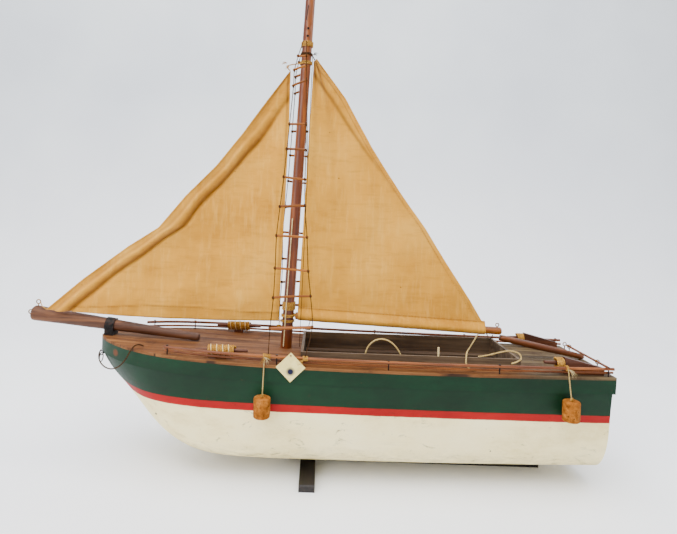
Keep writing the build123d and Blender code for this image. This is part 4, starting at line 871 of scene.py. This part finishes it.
def main_place(t, u):
    """Luff to leech across, from the hem on the boom up to the head."""
    luff = Vector((-25, 0, 234)).lerp(Vector((-13, 0, 636)), t)
    leech = along(MAIN_LEECH, t)
    point = luff.lerp(leech, u)
    across = (leech - luff).length
    point.z -= 2.0 * math.sin(math.pi * u) * (1 - t) ** 4
    full_up, full_across = math.sin(math.pi * min(1, t * 0.9 + 0.05)), math.sin(math.pi * min(1, u * 0.95))
    belly = 9.0 * full_across * full_up * step_up(0, 0.12, u)
    to_head = step_up(0.35, 1.0, t)
    folds = math.sin(TURN * (2.6 * u + 0.18 * math.sin(5 * t))) * 2.4 * to_head * step_up(0, 0.2, u)
    rough = noise.noise(Vector((point.x * 0.022, point.z * 0.016, 5.0))) * 3.2 * step_up(0, 0.15, u)
    fine = noise.noise(Vector((point.x * 0.09, point.z * 0.05, 9.0))) * 0.7
    pull_fades = math.exp(-(1 - u) * across / 60)
    clew_pull = math.sin((1 - u) * across * 0.24) * 1.2 * pull_fades * (1 - step_up(0, 0.2, t))
    edge = (1 - u) * across
    curl = -3.0 * math.exp(-(edge / 5.0) ** 2) * step_up(0.02, 0.1, t)
    hem = -0.7 * ridge(edge, 7.0, 1.0)
    sway = (belly + folds + rough + clew_pull) * step_up(0, 0.05, t) * step_up(0, 0.04, u)
    point.y += sway + fine * step_up(0, 0.06, u)
    point.y += curl + hem
    # painted shade: darker cloth in the fold inside the leech, along the leech hem, in the folds near the
    # head and by the luff near the tack
    fold_shade = 0.8 * ridge(edge, 15 + 6 * math.sin(9 * t), 3.5) * step_up(0.45, 0.75, t)
    fold_shade += 0.5 * ridge(edge, 7.0, 0.9)
    fold_shade += 0.55 * step_up(0.80, 1.0, t) * (0.5 + 0.5 * math.sin(TURN * 2.6 * u))
    fold_shade += 0.45 * step_up(0.30, 0.0, t) * step_up(26, 8, u * across)
    return point, fold_shade


main = sail("mainsail_cloth", 150, 90, main_place, "sail_main", "boom_rig")


def main_hem_place(t, u):
    """The foot's sleeve round the boom, from the seam on one side to the seam on the other."""
    x = -24.5 + 300.3 * u
    z = boom_line(x)
    puff = 6.9 + 0.35 * noise.noise(Vector((x * 0.05, t * 5, 2.0)))
    if t < 0.3:
        share = t / 0.3
        y, up_by = 0.9 + (puff - 0.9) * step_up(0, 1, share), 14.0 * (1 - share)
    elif t > 0.7:
        share = (1 - t) / 0.3
        y, up_by = -0.9 - (puff - 0.9) * step_up(0, 1, share), 14.0 * (1 - share)
    else:
        angle = math.pi * (t - 0.3) / 0.4
        y, up_by = puff * math.cos(angle), -puff * math.sin(angle)
    pucker = 0.3 * math.sin(x * 0.9) * math.exp(-((up_by - 13) / 4) ** 2)
    # painted shade: darker at the crease by the seam and on the underside of the sleeve below the boom
    fold_shade = 0.55 * ridge(up_by, 13.2, 1.4) + 0.25 * step_up(2, -6, up_by)
    return Vector((x, y + pucker * (1 if y > 0 else -1), z + up_by)), fold_shade


main_hem = sail("mainsail_foot_sleeve", 48, 150, main_hem_place, "sail_main", "boom_rig")
foot_line = [mm(x, -1.5, boom_line(x) + 12.9) for x in range(-22, 276, 12)]
main_seam = stitches("mainsail_foot_stitches", foot_line, "boom_rig")
leech_places = [main_place(0.05 + 0.9 * i / 40, 0.965)[0] for i in range(41)]
leech_line = [mm(p.x, p.y - 0.9, p.z) for p in leech_places]
leech_seam = stitches("mainsail_leech_stitches", leech_line, "boom_rig")
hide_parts("mainsail")

JIB_LUFF = ((-422, 0, 226), (-366, 0, 276), (-297, 0, 330), (-250, 0, 362), (-210, 0, 413), (-163, 0, 463),
            (-123, 0, 516), (-84, 0, 573), (-51, 0, 619))
JIB_LEECH = ((-54.5, 0, 218.5), (-53, 0, 316), (-51, 0, 405), (-49, 0, 540), (-49.5, 0, 619))
tack, clew, head = Vector((-422, -13.6, 226)), Vector((-54.5, -3.0, 218.5)), Vector((-50, 0, 619))
jib_normal = (clew - tack).cross(head - tack)


def jib_y(x, z):
    return tack.y - (jib_normal.x * (x - tack.x) + jib_normal.z * (z - tack.z)) / jib_normal.y


def jib_place(t, u):
    """Luff to leech across, from the foot up to the head."""
    luff, leech = along(JIB_LUFF, t), along(JIB_LEECH, t)
    point = luff.lerp(leech, u)
    across = (leech - luff).length
    point.z -= 5.0 * math.sin(math.pi * u) * (1 - t) ** 6
    point.y = jib_y(point.x, point.z)
    edge, back = u * across, (1 - u) * across
    free = step_up(0, 30, back) * step_up(0, 10, edge)
    belly = 10.0 * math.sin(math.pi * u) * math.sin(math.pi * (0.08 + 0.84 * t))
    rough = noise.noise(Vector((point.x * 0.018, point.z * 0.022, 21.0))) * 4.0
    fine = noise.noise(Vector((point.x * 0.08, point.z * 0.08, 31.0))) * 0.8
    roll_at = 23 + 8 * noise.noise(Vector((point.x * 0.02, 0.0, 3.0)))
    wide = min(1.0, across / 90)
    roll = (-6.0 * ridge(edge, roll_at, 8.5) + 4.0 * ridge(edge, roll_at + 14, 5.0)) * wide
    corner = math.sin(edge * 0.2) * 1.4 * math.exp(-edge / 70) * (1 - step_up(0, 0.15, t))
    gather = math.sin(TURN * 1.6 * u + 0.6) * 2.2 * step_up(0.72, 1.0, t)
    point.y += (belly + rough + gather) * free + fine + (roll + corner) * step_up(0, 5, edge)
    hem = ridge(point.z, 234.0 + 3.0 * math.sin(point.x * 0.02), 1.1) * step_up(20, 50, edge)
    point.y -= 0.8 * hem
    # painted shade: darker cloth along the rolled fold by the luff, at the foot hem, along the luff and
    # leech edges and in the gathers near the head
    fold_shade = 0.95 * ridge(edge, roll_at + 12, 5.0) * wide + 0.45 * ridge(edge, roll_at - 9, 4.5) * wide
    fold_shade += 0.55 * hem + 0.5 * ridge(edge, 3.0, 2.0) + 0.5 * ridge(back, 4.0, 2.0)
    fold_shade += 0.5 * step_up(0.8, 1.0, t) * (0.5 + 0.5 * math.sin(10 * u))
    return point, fold_shade


jib = sail("jib_cloth", 150, 110, jib_place, "sail_jib", "hull")
foot_line = []
for i in range(30):
    x = -372 + 315 * i / 29
    foot_line.append(Vector((x, jib_y(x, 234) - 1.2, 234.0 + 3.0 * math.sin(x * 0.02))))
jib_seam = stitches("jib_foot_stitches", [p * MM for p in foot_line], "hull")
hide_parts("jib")

# ---- set and light --------------------------------------------------------------------------------
CURVE_Y = 0.75
CURVE_RADIUS = 0.55
profile = [(-1.6, 0), (CURVE_Y, 0)]
for step in range(1, 17):
    angle = step * math.pi / 32
    profile.append((CURVE_Y + CURVE_RADIUS * math.sin(angle), CURVE_RADIUS - CURVE_RADIUS * math.cos(angle)))
profile.append((1.3, 2.6))
floor_points = [(x, y, z) for y, z in profile for x in (-3.2, 3.2)]
floor_faces = [(2 * i, 2 * i + 1, 2 * i + 3, 2 * i + 2) for i in range(len(profile) - 1)]
paper = Finish("backdrop_paper", 0.9, 0.1)
shade = paper.noise(1.6, detail=3.0)
# painted shade: the one sheet of paper is painted white on the floor and darker grey up the backdrop, for
# light falling off with height
low = paper.ramp(shade, (0.3, rgb(247, 247, 250)), (0.7, rgb(252, 253, 254)))
high = paper.ramp(shade, (0.3, rgb(214, 217, 221)), (0.7, rgb(226, 229, 231)))
paper.paint(paper.mix(paper.between(paper.z, 0.0, 0.9), low, high))
paper.bump(paper.noise(400.0), 0.0002, 0.2)
finishes["paper"] = paper
floor = add_mesh("studio_floor", floor_points, floor_faces, "paper", None)


def soft_light(name, place, target, size, watts, colour):
    data = bpy.data.lights.new(name, "AREA")
    data.shape = "RECTANGLE"
    data.size, data.size_y = size
    data.energy = watts
    data.color = colour
    made = bpy.data.objects.new(name, data)
    bpy.context.scene.collection.objects.link(made)
    made.location = place
    made.rotation_euler = (Vector(target) - Vector(place)).to_track_quat("-Z", "Y").to_euler()


soft_light("overhead", (-0.2, -0.5, 2.3), (0, 0.1, 0.2), (2.6, 2.2), 118, (1.0, 0.985, 0.96))
soft_light("front_left", (-1.6, -1.7, 1.3), (0, 0, 0.3), (1.4, 1.4), 44, (1.0, 0.99, 0.98))
soft_light("back_right", (1.5, 0.2, 1.6), (0, 0, 0.3), (1.0, 1.0), 12, (0.96, 0.98, 1.0))
world = bpy.data.worlds.new("studio")
world.use_nodes = True
world.node_tree.nodes["Background"].inputs["Color"].default_value = rgb(226, 230, 236)
world.node_tree.nodes["Background"].inputs["Strength"].default_value = 1.0
bpy.context.scene.world = world
